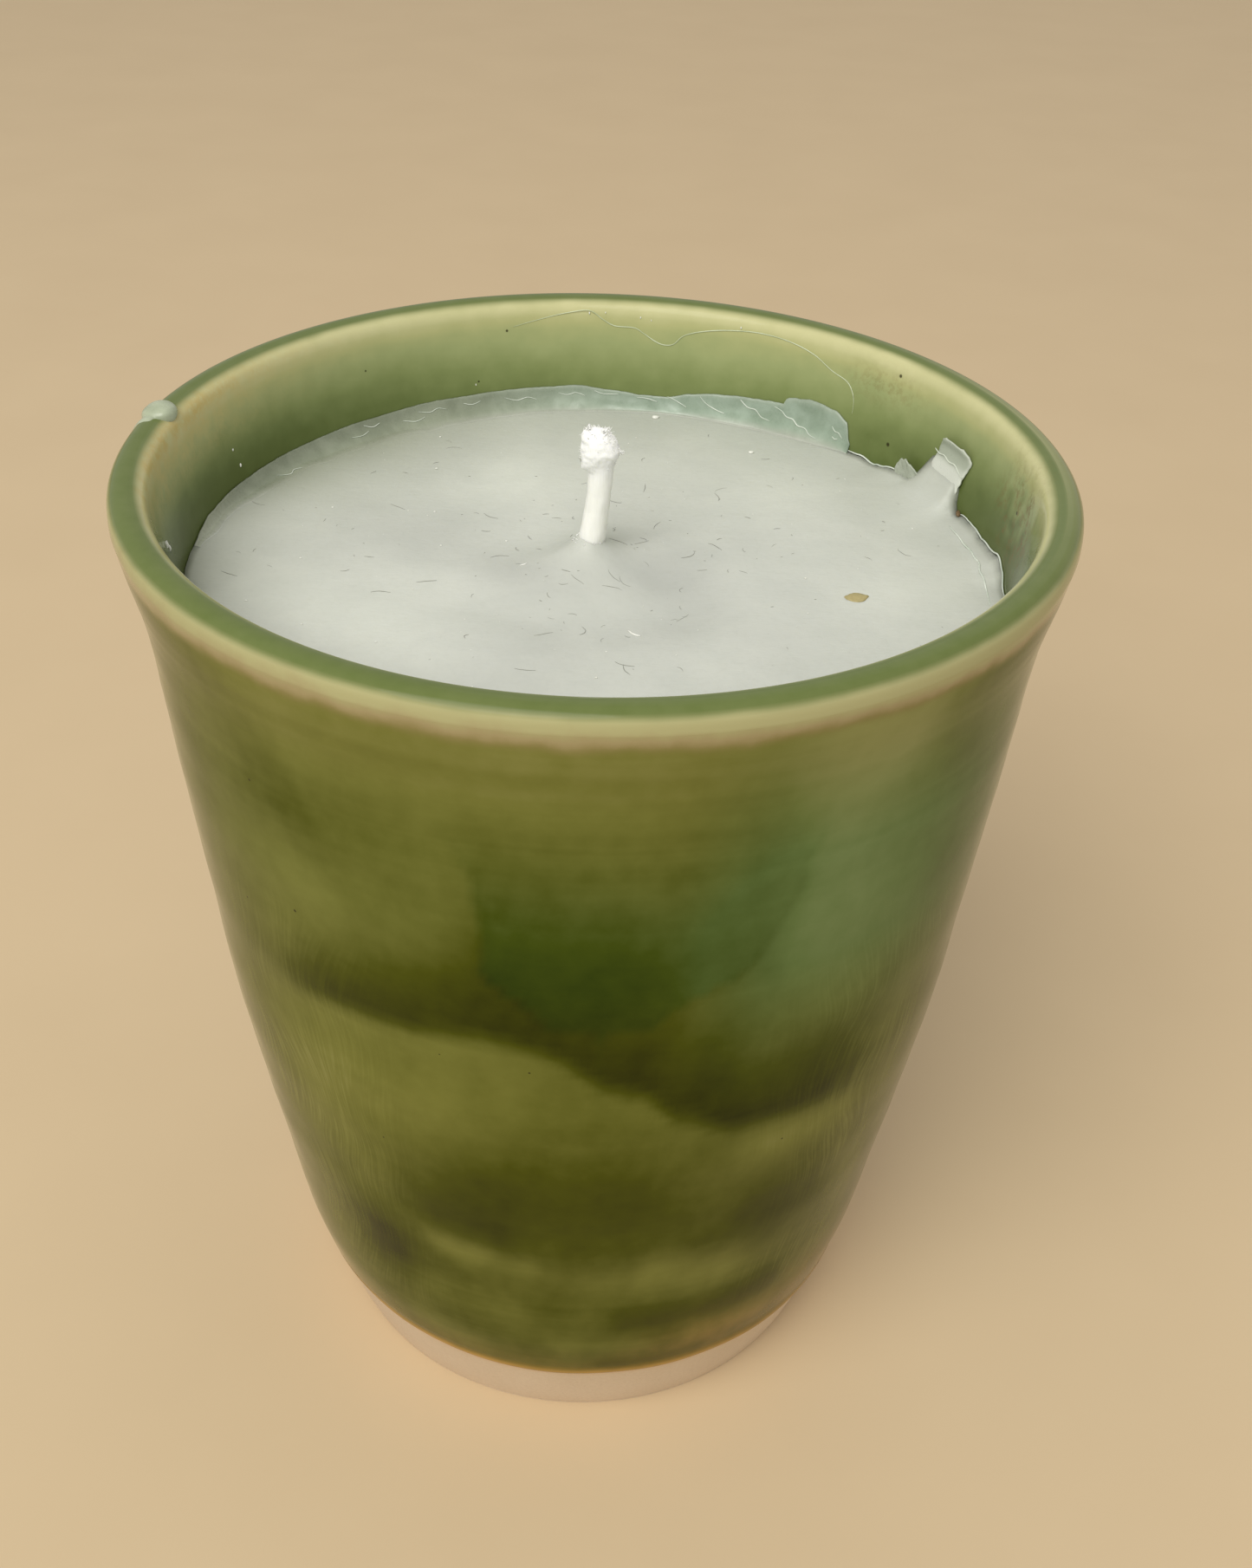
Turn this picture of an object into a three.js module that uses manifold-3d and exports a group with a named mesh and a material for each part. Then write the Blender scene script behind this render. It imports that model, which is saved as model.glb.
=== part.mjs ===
// A candle poured into a wheel-thrown stoneware tumbler.
// Millimetres, +Z up, origin at the middle of the foot, on the surface that the cup stands on.
import * as THREE from "three";
import { mergeVertices } from "three/addons/utils/BufferGeometryUtils.js";
import Module from "manifold-3d";

// ---- Driving dimensions ----

const FOOT_RADIUS = 27.7; // outside of the foot ring, where it stands
const GLAZE_LINE = 9.4; // height where the bare clay ends and the glaze starts
const FLOOR_LEVEL = 9; // glazed floor inside
const WAX_LEVEL = 88.1;
const WICK_TIP = 102;
const SEAM = 0.3; // gap between two pieces that are stuck to each other

// Outside of the glazed wall, as [radius, height]. The wall swells from the foot and flares at the lip.
const OUTER_WALL = [
  [30.8, GLAZE_LINE],
  [32.5, 16],
  [34.9, 30],
  [37.4, 45],
  [39.1, 60],
  [40.7, 75],
  [42.0, 88],
  [43.6, 95.5],
];
const LIP = [
  [44.1, 98],
  [44.0, 99.1],
  [43.4, 99.8],
  [42.5, 100],
  [41.5, 99.8],
  [40.8, 99.2],
  [40.5, 98.3],
];
const INNER_WALL = [
  [39.7, 94],
  [38.85, WAX_LEVEL],
  [37.2, 75],
  [35.6, 60],
  [33.8, 45],
  [30.8, 30],
  [26.8, 18],
  [20, 11],
  [12, FLOOR_LEVEL],
];
const OUTER_STEPS = 10;
const INNER_STEPS = 14;
const CUP_FACETS = 48;

// Foot: a flat ring, turned round a shallow recess.
const RING_INNER_RADIUS = 22.5;
const RECESS_RADIUS = 20.5;
const RECESS_DEPTH = 2.5;
const FOOT_CHAMFER = 0.5;
const GLAZE_STEP = 0.3; // how far the glaze stands proud of the bare clay

// Wick. It stands upright in its tab and leans on the way up.
const WICK_RADIUS = 1.25;
const WICK_FACETS = 16;
const WICK_EXIT = new THREE.Vector2(-0.5, 2.5); // where it leaves the wax
const WICK_END = new THREE.Vector2(0.1, 2.5); // where its tip is
const LEAN_START = 20;
const LEAN_STATIONS = [LEAN_START, 37, 54, 71]; // heights of the corners in the bent wick
const LEAN_CORE = 4; // the wax within this radius leans with the wick
const LEAN_REACH = 28; // the wax beyond this radius stays where it is
const WICK_HEAD_RADIUS = 1.65; // the trimmed end frays and spreads
const WICK_HEAD_LENGTH = 4.4;
const HEAD_ROUNDING = 0.7;

// Metal tab that the wick is crimped in, and the sticker that holds it on the floor.
const STICKER_RADIUS = 9;
const STICKER_THICKNESS = 0.8;
const TAB_RADIUS = 10;
const TAB_SHEET = 0.4;
const NECK_HEIGHT = 6;
const TAB_FACETS = 32;

// Surface of the wax: a cone on the wick, a shallow ring round it and an edge that creeps up the wall.
const CONE_HEIGHT = 2.4;
const CONE_WIDTH = 3.2;
const DIP_DEPTH = 0.45;
const DIP_RADIUS = 13;
const DIP_WIDTH = 6;
const CREEP_HEIGHT = 0.3;
const CREEP_WIDTH = 1.6;
const WAX_RINGS = [2.2, 3.2, 4.6, 6.5, 9.5, 13, 18, 24, 31, 36.5]; // radii of the corners across the wax

// Skins of wax on the wall above the wax. Each spans two edges of [angle in degrees, height above the wax].
const SKIN_STEPS_ALONG = 24;
const SKIN_STEPS_BETWEEN = 2;
const FILM_THICKNESS = 0.4;
const FILM_LOWER_EDGE = [
  [46.5, 0.6],
  [152, 0.6],
];
const FILM_UPPER_EDGE = [
  [46.5, 2.4],
  [51, 4.3],
  [60, 3.6],
  [75, 2.6],
  [92, 2.5],
  [114, 2.4],
  [135, 1.9],
  [152, 1.2],
];
const FLAKE_THICKNESS = 0.6;
const FLAKE_LEFT_EDGE = [
  [35, 0.6],
  [33, 1.7],
  [29.8, 2.4],
  [28.6, 5],
  [27, 6.7],
];
const FLAKE_RIGHT_EDGE = [
  [20.6, 0.6],
  [20, 2.5],
  [19.7, 4.5],
  [20.4, 5.9],
];

// Bead of wax that sits over the lip.
const DRIP_ANGLE = 169;
const DRIP_RADIUS = 42.85; // from the cup's axis to the middle of the bead
const DRIP_HEIGHT = 99.7;
const DRIP_HALF_SIZE = new THREE.Vector3(2.15, 2.3, 1.5);
const DRIP_TILT = 20; // degrees that it droops outwards

// ---- Shared helpers ----

const { degToRad, mapLinear, smoothstep } = THREE.MathUtils;
const wasm = await Module();
wasm.setup();

const points = (pairs) => pairs.map(([r, z]) => new THREE.Vector2(r, z));
const smooth = (pairs, steps) => new THREE.SplineCurve(points(pairs)).getPoints(steps);

// Turns a profile of (radius, height) points about the Z axis.
function turned(profile, facets) {
  return new THREE.LatheGeometry(profile, facets).rotateX(Math.PI / 2);
}

// The profile moved by a distance to its left, as seen when walking along it.
function offset(profile, distance) {
  const last = profile.length - 1;
  return profile.map((p, i) => {
    const along = profile[Math.min(i + 1, last)].clone().sub(profile[Math.max(i - 1, 0)]).normalize();
    return new THREE.Vector2(p.x - along.y * distance, p.y + along.x * distance);
  });
}

// Moves each vertex of a geometry by the function move(point).
function bent(geometry, move) {
  const position = geometry.getAttribute("position");
  const point = new THREE.Vector3();
  for (let i = 0; i < position.count; i++) {
    move(point.fromBufferAttribute(position, i));
    position.setXYZ(i, point.x, point.y, point.z);
  }
  geometry.computeVertexNormals();
  return geometry;
}

function toSolid(geometry) {
  geometry.deleteAttribute("normal");
  geometry.deleteAttribute("uv");
  const merged = mergeVertices(geometry);
  const vertProperties = merged.getAttribute("position").array;
  const triVerts = new Uint32Array(merged.index.array);
  return new wasm.Manifold(new wasm.Mesh({ numProp: 3, vertProperties, triVerts }));
}

function toGeometry(solid) {
  const { vertProperties, triVerts } = solid.getMesh();
  const geometry = new THREE.BufferGeometry();
  geometry.setAttribute("position", new THREE.BufferAttribute(vertProperties, 3));
  geometry.setIndex(new THREE.BufferAttribute(triVerts, 1));
  geometry.computeVertexNormals();
  return geometry;
}

function piece(name, geometry, finish) {
  const mesh = new THREE.Mesh(geometry, new THREE.MeshStandardMaterial(finish));
  mesh.name = name;
  return mesh;
}

// ---- Surfaces that more than one piece is fitted to ----

const outerWall = smooth(OUTER_WALL, OUTER_STEPS);
const innerWall = smooth(INNER_WALL, INNER_STEPS);
const stickerBottom = FLOOR_LEVEL + SEAM;
const tabBottom = stickerBottom + STICKER_THICKNESS + SEAM;
const plateTop = tabBottom + TAB_SHEET;
const neckTop = plateTop + NECK_HEIGHT;
const channelRadius = WICK_RADIUS + SEAM;

// Radius of the inside of the cup at a height above the wax's foot.
function insideRadius(z) {
  const next = Math.max(1, innerWall.findIndex((p) => p.y < z));
  const [high, low] = [innerWall[next - 1], innerWall[next]];
  return mapLinear(z, low.y, high.y, low.x, high.x);
}

function waxHeight(fromWick) {
  const cone = CONE_HEIGHT * Math.exp(-fromWick / CONE_WIDTH);
  const dip = DIP_DEPTH * Math.exp(-(((fromWick - DIP_RADIUS) / DIP_WIDTH) ** 2));
  const creep = CREEP_HEIGHT * Math.exp((fromWick - insideRadius(WAX_LEVEL)) / CREEP_WIDTH);
  return WAX_LEVEL + cone - dip + creep;
}

function wickCentre(z) {
  const leaned = WICK_EXIT.clone().multiplyScalar(smoothstep(z, LEAN_START, WAX_LEVEL));
  return leaned.lerp(WICK_END, Math.max(0, (z - WAX_LEVEL) / (WICK_TIP - WAX_LEVEL)));
}

// Moves a point with the wick: wholly beside it, and less and less towards the wall.
function leanWithWick(point) {
  const share = 1 - smoothstep(Math.hypot(point.x, point.y), LEAN_CORE, LEAN_REACH);
  const centre = wickCentre(point.z);
  point.x += centre.x * share;
  point.y += centre.y * share;
}

// ---- Pieces ----

function cupBody() {
  const foot = points([
    [0, RECESS_DEPTH],
    [RECESS_RADIUS, RECESS_DEPTH],
    [RING_INNER_RADIUS - FOOT_CHAMFER, FOOT_CHAMFER],
    [RING_INNER_RADIUS, 0],
    [FOOT_RADIUS - FOOT_CHAMFER, 0],
    [FOOT_RADIUS, FOOT_CHAMFER],
    [OUTER_WALL[0][0] - GLAZE_STEP, GLAZE_LINE - GLAZE_STEP],
  ]);
  const middle = new THREE.Vector2(0, FLOOR_LEVEL);
  return turned([...foot, ...outerWall, ...points(LIP), ...innerWall, middle], CUP_FACETS);
}

// The wax has a channel for the wick and a pocket for its tab, open at the bottom.
function waxFill() {
  const submerged = innerWall.filter((p) => p.y < WAX_LEVEL).reverse();
  const wall = offset(submerged, SEAM);
  const edge = insideRadius(WAX_LEVEL) - SEAM;
  const surface = [channelRadius, ...WAX_RINGS, edge].reverse().map((r) => [r, waxHeight(r)]);
  const channel = LEAN_STATIONS.toReversed().map((z) => [channelRadius, z]);
  const pocket = [
    [channelRadius, neckTop + SEAM],
    [channelRadius + TAB_SHEET + SEAM, neckTop + SEAM],
    [channelRadius + TAB_SHEET + SEAM, plateTop + SEAM],
    [TAB_RADIUS + SEAM, plateTop + SEAM],
    [TAB_RADIUS + SEAM, wall[0].y],
    [wall[0].x, wall[0].y],
  ];
  const profile = [...wall, ...points([...surface, ...channel, ...pocket])];
  return bent(turned(profile, CUP_FACETS), leanWithWick);
}

function wick() {
  const headBottom = WICK_TIP - WICK_HEAD_LENGTH;
  const profile = points([
    [0, tabBottom],
    ...[tabBottom, ...LEAN_STATIONS, waxHeight(channelRadius)].map((z) => [WICK_RADIUS, z]),
    [WICK_RADIUS, headBottom - HEAD_ROUNDING],
    [WICK_HEAD_RADIUS, headBottom + HEAD_ROUNDING],
    [WICK_HEAD_RADIUS, WICK_TIP - HEAD_ROUNDING],
    [WICK_HEAD_RADIUS - HEAD_ROUNDING, WICK_TIP],
    [0, WICK_TIP],
  ]);
  return bent(turned(profile, WICK_FACETS), leanWithWick);
}

function wickTab() {
  const profile = points([
    [channelRadius, tabBottom],
    [TAB_RADIUS, tabBottom],
    [TAB_RADIUS, plateTop],
    [channelRadius + TAB_SHEET, plateTop],
    [channelRadius + TAB_SHEET, neckTop],
    [channelRadius, neckTop],
    [channelRadius, tabBottom],
  ]);
  return turned(profile, TAB_FACETS);
}

function wickSticker() {
  const disc = new THREE.CylinderGeometry(STICKER_RADIUS, STICKER_RADIUS, STICKER_THICKNESS, TAB_FACETS);
  return disc.rotateX(Math.PI / 2).translate(0, 0, stickerBottom + STICKER_THICKNESS / 2);
}

// A sheet on the inside of the wall, from one edge to another. Walking along the edges, the second
// one is to the left for someone who stands outside the cup.
function skinOnWall(firstEdge, secondEdge, thickness) {
  const first = new THREE.SplineCurve(points(firstEdge));
  const second = new THREE.SplineCurve(points(secondEdge));
  const sheet = new THREE.BoxGeometry(1, 1, thickness, SKIN_STEPS_ALONG, SKIN_STEPS_BETWEEN, 1);
  return bent(sheet, (p) => {
    const place = first.getPoint(p.x + 0.5).lerp(second.getPoint(p.x + 0.5), p.y + 0.5);
    const angle = degToRad(place.x);
    const height = WAX_LEVEL + place.y;
    const radius = insideRadius(height) - SEAM - thickness / 2 + p.z;
    p.set(radius * Math.cos(angle), radius * Math.sin(angle), height);
  });
}

const backFilm = () => skinOnWall(FILM_LOWER_EDGE, FILM_UPPER_EDGE, FILM_THICKNESS);
const rightFlake = () => skinOnWall(FLAKE_LEFT_EDGE, FLAKE_RIGHT_EDGE, FLAKE_THICKNESS);

// The bead is an egg shape, cut to fit the lip that it sits on.
function rimDrip() {
  const bead = new THREE.SphereGeometry(1, 16, 10)
    .scale(...DRIP_HALF_SIZE)
    .rotateY(degToRad(DRIP_TILT))
    .translate(DRIP_RADIUS, 0, DRIP_HEIGHT)
    .rotateZ(degToRad(DRIP_ANGLE));
  const lip = [...outerWall.slice(-3), ...points(LIP), ...innerWall.slice(0, 3)];
  const clearOfLip = offset(lip, -SEAM);
  const keepOut = [...clearOfLip, clearOfLip[0]];
  return toGeometry(toSolid(bead).subtract(toSolid(turned(keepOut, CUP_FACETS))));
}

// ---- Assembly ----

const STONEWARE = { color: 0x66733a, roughness: 0.12, metalness: 0 };
const WAX = { color: 0xcfd0c4, roughness: 0.4, metalness: 0 };
const THIN_WAX = { color: 0xb4c2b2, roughness: 0.3, metalness: 0 };
const COTTON = { color: 0xf2f1e8, roughness: 0.8, metalness: 0 };
const TINPLATE = { color: 0xb9bbbe, roughness: 0.35, metalness: 1 };
const FOAM = { color: 0xe9e6dc, roughness: 0.7, metalness: 0 };

const candle = new THREE.Group();
candle.add(
  piece("cup_body", cupBody(), STONEWARE),
  piece("wax_fill", waxFill(), WAX),
  piece("wick", wick(), COTTON),
  piece("wick_tab", wickTab(), TINPLATE),
  piece("wick_sticker", wickSticker(), FOAM),
  piece("wax_film_back", backFilm(), THIN_WAX),
  piece("wax_flake_right", rightFlake(), THIN_WAX),
  piece("wax_drip_on_lip", rimDrip(), THIN_WAX),
);

export default candle;
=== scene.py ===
"""Looks of a candle poured into a wheel-thrown stoneware cup. Metres, +Z up, the cup's axis on Z."""
import functools
import math
import random

import bpy
from mathutils import Matrix, Vector, noise


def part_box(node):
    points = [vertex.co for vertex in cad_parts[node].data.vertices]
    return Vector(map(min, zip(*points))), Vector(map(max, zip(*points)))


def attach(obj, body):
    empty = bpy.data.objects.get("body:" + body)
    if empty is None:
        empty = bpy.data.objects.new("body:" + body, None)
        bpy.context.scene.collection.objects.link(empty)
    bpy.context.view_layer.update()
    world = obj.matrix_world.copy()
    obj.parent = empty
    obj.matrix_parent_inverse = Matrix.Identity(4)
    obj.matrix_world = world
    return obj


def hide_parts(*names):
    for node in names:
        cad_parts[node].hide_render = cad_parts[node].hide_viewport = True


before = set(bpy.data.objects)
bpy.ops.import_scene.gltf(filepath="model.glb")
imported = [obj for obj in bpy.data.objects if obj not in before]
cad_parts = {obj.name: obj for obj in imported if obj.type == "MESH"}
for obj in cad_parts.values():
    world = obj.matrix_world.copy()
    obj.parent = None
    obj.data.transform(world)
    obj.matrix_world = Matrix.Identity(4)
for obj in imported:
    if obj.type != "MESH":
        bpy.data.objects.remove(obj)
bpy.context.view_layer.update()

MM = 0.001
TURN = 2 * math.pi
FRONT = -90  # degrees from +X to the side that faces the camera

# ---- Sizes that the frame gives, in millimetres ----

RIM_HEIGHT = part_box("cup_body")[1][2] / MM
RIM_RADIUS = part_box("cup_body")[1][0] / MM
WICK_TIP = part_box("wick")[1][2] / MM
BOX_MARGIN = 0.02  # how far the looks stay inside the frame's box

# ---- Section of the cup, as (radius, height) in millimetres ----

GLAZE_LINE = 9.4
FLOOR_LEVEL = 9
WAX_LEVEL = 88.1
OUTER_WALL = [
    (30.8, GLAZE_LINE), (32.5, 16), (34.9, 30), (37.4, 45), (39.1, 60), (40.7, 75), (42.0, 88), (43.6, 95.5),
    (RIM_RADIUS, 98),
]
LIP = [
    (RIM_RADIUS, 98), (44.0, 99.1), (43.4, 99.8), (42.5, RIM_HEIGHT), (41.5, 99.8), (40.8, 99.2),
    (40.5, 98.3),
]
INNER_WALL = [
    (40.5, 98.3), (39.7, 94), (38.85, WAX_LEVEL), (37.2, 75), (35.6, 60), (33.8, 45), (30.8, 30), (26.8, 18),
    (20, 11), (12, FLOOR_LEVEL),
]
FOOT = [
    (0, 2.5), (20.2, 2.5), (21.2, 1.8), (22.2, 0.2), (22.6, 0), (27.0, 0), (27.4, 0.1), (27.65, 0.5),
    (28.4, 2.6), (29.5, 6.0), (30.4, 8.6), (30.5, 8.9),
]
WICK_EXIT = Vector((-0.75, 2.5))  # where the wick leaves the wax
WICK_END = Vector((0.1, 2.5))  # where its tip is
WICK_RADIUS = 1.2


# ---- Small helpers ----


def clamp(value, low=0.0, high=1.0):
    return min(high, max(low, value))


def lerp(a, b, share):
    return a + (b - a) * share


def smoothstep(value, low, high):
    share = clamp((value - low) / (high - low))
    return share * share * (3 - 2 * share)


def hump(value, width):
    """1 at zero, falling to nothing on both sides like a bell."""
    return math.exp(-((value / width) ** 2))


def degrees_from(angle, centre):
    """Signed degrees from one direction to another, within half a turn."""
    return (angle - centre + 180) % 360 - 180


def curve(points, steps):
    """Points on the smooth curve through the given ones, with the same number of steps between each two."""
    ends = [points[0], *points, points[-1]]
    result = []
    for i in range(len(points) - 1):
        before, start, end, after = (Vector(p) for p in ends[i : i + 4])
        for step in range(steps):
            t = step / steps
            bend = start * 2 + (end - before) * t
            bend += (before * 2 - start * 5 + end * 4 - after) * t**2
            bend += (start * 3 - before - end * 3 + after) * t**3
            result.append(bend / 2)
    result.append(Vector(points[-1]))
    return result


def level_at(points, x):
    """Height at x on a smooth line through (x, height) points in rising order, level beyond its ends."""
    if x <= points[0][0]:
        return points[0][1]
    for (x0, y0), (x1, y1) in zip(points, points[1:]):
        if x <= x1:
            return lerp(y0, y1, smoothstep(x, x0, x1))
    return points[-1][1]


def around(radius, angle, height=0.0):
    """A place in millimetres, at a radius and an angle in degrees round the cup's axis."""
    turn = math.radians(angle)
    return Vector((radius * math.cos(turn), radius * math.sin(turn), height))


def rough(place, scale, seed=0):
    """Smooth noise from -1 to 1 at a place in millimetres, with lumps of the given size."""
    return noise.noise(Vector(place) / scale + Vector((seed * 7.3, seed * 3.1, seed * 5.7)))


def radius_at(profile, height):
    """Radius at a height of a profile of (radius, height) points, given from the bottom up."""
    for (r0, z0), (r1, z1) in zip(profile, profile[1:]):
        if height <= z1:
            return lerp(r0, r1, (height - z0) / (z1 - z0))
    return profile[-1][0]


def inside_radius(height):
    """Radius of the inside of the cup, in millimetres."""
    return radius_at(INNER_WALL[::-1], height)


def outside_radius(height):
    """Radius of the outside of the wall, in millimetres."""
    return radius_at(OUTER_WALL, height)


def on_wall(angle, height, clearance):
    """A place by the inside of the wall, in millimetres."""
    return around(inside_radius(height) - clearance, angle, height)


def wick_centre(height):
    """Middle of the wick: leaning to the right above the wax, and upright again in its head."""
    leaned = WICK_EXIT * smoothstep(height, 20, WAX_LEVEL)
    share = clamp((height - WAX_LEVEL) / (WICK_TIP - WAX_LEVEL))
    bow = 0.42 * math.sin(math.pi * share**1.3)
    return leaned.lerp(WICK_END, share) + Vector((bow, 0))


# ---- Making pieces ----


def add_piece(name, shape, materials, node=None):
    """A mesh piece that rides on the cup's only body. A shape is its places, in metres, and its faces."""
    places, faces = shape
    mesh = bpy.data.meshes.new(name)
    mesh.from_pydata(places, [], faces)
    mesh.update()
    for face in mesh.polygons:
        face.use_smooth = True
    for material in materials:
        mesh.materials.append(material)
    piece = bpy.data.objects.new(name, mesh)
    bpy.context.collection.objects.link(piece)
    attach(piece, "root")
    if node:
        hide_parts(node)
    return piece


def paint(piece, looks):
    """Stores named numbers for the piece's material to read: one dictionary for each of its places."""
    for name in looks[0]:
        layer = piece.data.attributes.new(name, "FLOAT", "POINT")
        layer.data.foreach_set("value", [look[name] for look in looks])


def ring_faces(rings, columns):
    """Quads between rings of points, each closed round."""
    faces = []
    for low in range(0, (rings - 1) * columns, columns):
        high = low + columns
        for column in range(columns):
            after = (column + 1) % columns
            faces.append((low + column, low + after, high + after, high + column))
    return faces


def closed_faces(rings, columns):
    """Quads between rings of points, and a face over each end."""
    last = (rings - 1) * columns
    ends = [tuple(reversed(range(columns))), tuple(range(last, last + columns))]
    return ring_faces(rings, columns) + ends


def tube(route, radii, sides):
    """A closed tube along a route in metres, with one radius for each of its points."""
    places = []
    side = Vector((0, 0, 1))
    for i, centre in enumerate(route):
        along = (route[min(i + 1, len(route) - 1)] - route[max(i - 1, 0)]).normalized()
        if abs(along.dot(side)) > 0.9:
            side = Vector((1, 0, 0))
        across = along.cross(side).normalized()
        up = across.cross(along)
        for k in range(sides):
            turn = TURN * k / sides
            places.append(centre + (across * math.cos(turn) + up * math.sin(turn)) * radii[i])
    return places, closed_faces(len(route), sides)


def blob(centre, half_size, seed, tilt=Matrix.Identity(3), lump=0.3, rows=8, columns=12):
    """An uneven bead. Its centre and its half size are in millimetres."""
    places = []
    for row in range(rows + 1):
        down = math.pi * (0.001 + 0.998 * row / rows)
        for column in range(columns):
            out = around(math.sin(down), 360 * column / columns, -math.cos(down))
            swell = 1 + lump * rough(out, 0.8, seed)
            place = Vector(out[k] * half_size[k] for k in range(3)) * swell
            places.append((centre + tilt @ place) * MM)
    return places, closed_faces(rows + 1, columns)


def sheet(columns, rows, front, thickness):
    """A thin closed sheet. front(i, j) gives its inner face in millimetres, for shares from 0 to 1."""
    inner = [front(i / columns, j / rows) for j in range(rows + 1) for i in range(columns + 1)]
    outer = [place + Vector((place.x, place.y, 0)).normalized() * thickness for place in inner]
    wide = columns + 1
    layer = len(inner)
    faces = []
    for j in range(rows):
        for a in range(j * wide, j * wide + columns):
            quad = (a, a + 1, a + wide + 1, a + wide)
            faces.append(quad)
            faces.append(tuple(layer + k for k in reversed(quad)))
    border = list(range(columns))
    border += [j * wide + columns for j in range(rows)]
    border += [rows * wide + i for i in range(columns, 0, -1)]
    border += [j * wide for j in range(rows, 0, -1)]
    for here, after in zip(border, border[1:] + border[:1]):
        faces.append((here, layer + here, layer + after, after))
    return [place * MM for place in inner + outer], faces


def sheet_shares(columns, rows):
    """The shares (across, up) of each of a sheet's places, in their order."""
    one_face = [(i / columns, j / rows) for j in range(rows + 1) for i in range(columns + 1)]
    return one_face * 2


def ridge(route, radius):
    """A fine raised line through places in millimetres, thin at its ends."""
    last = len(route) - 1
    radii = [radius * MM * (0.3 + 0.7 * math.sin(math.pi * i / last) ** 0.5) for i in range(len(route))]
    return tube([place * MM for place in route], radii, 6)


def wall_ridge(points, radius, clearance):
    """A ridge on the wall, through (degrees, height) points."""
    return ridge([on_wall(angle, height, clearance) for angle, height in curve(points, 6)], radius)


def join(parts):
    """One list of places and one of faces from several (places, faces)."""
    places, faces = [], []
    for more_places, more_faces in parts:
        start = len(places)
        places += more_places
        faces += [tuple(start + i for i in face) for face in more_faces]
    return places, faces


# ---- Material nodes ----


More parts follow.
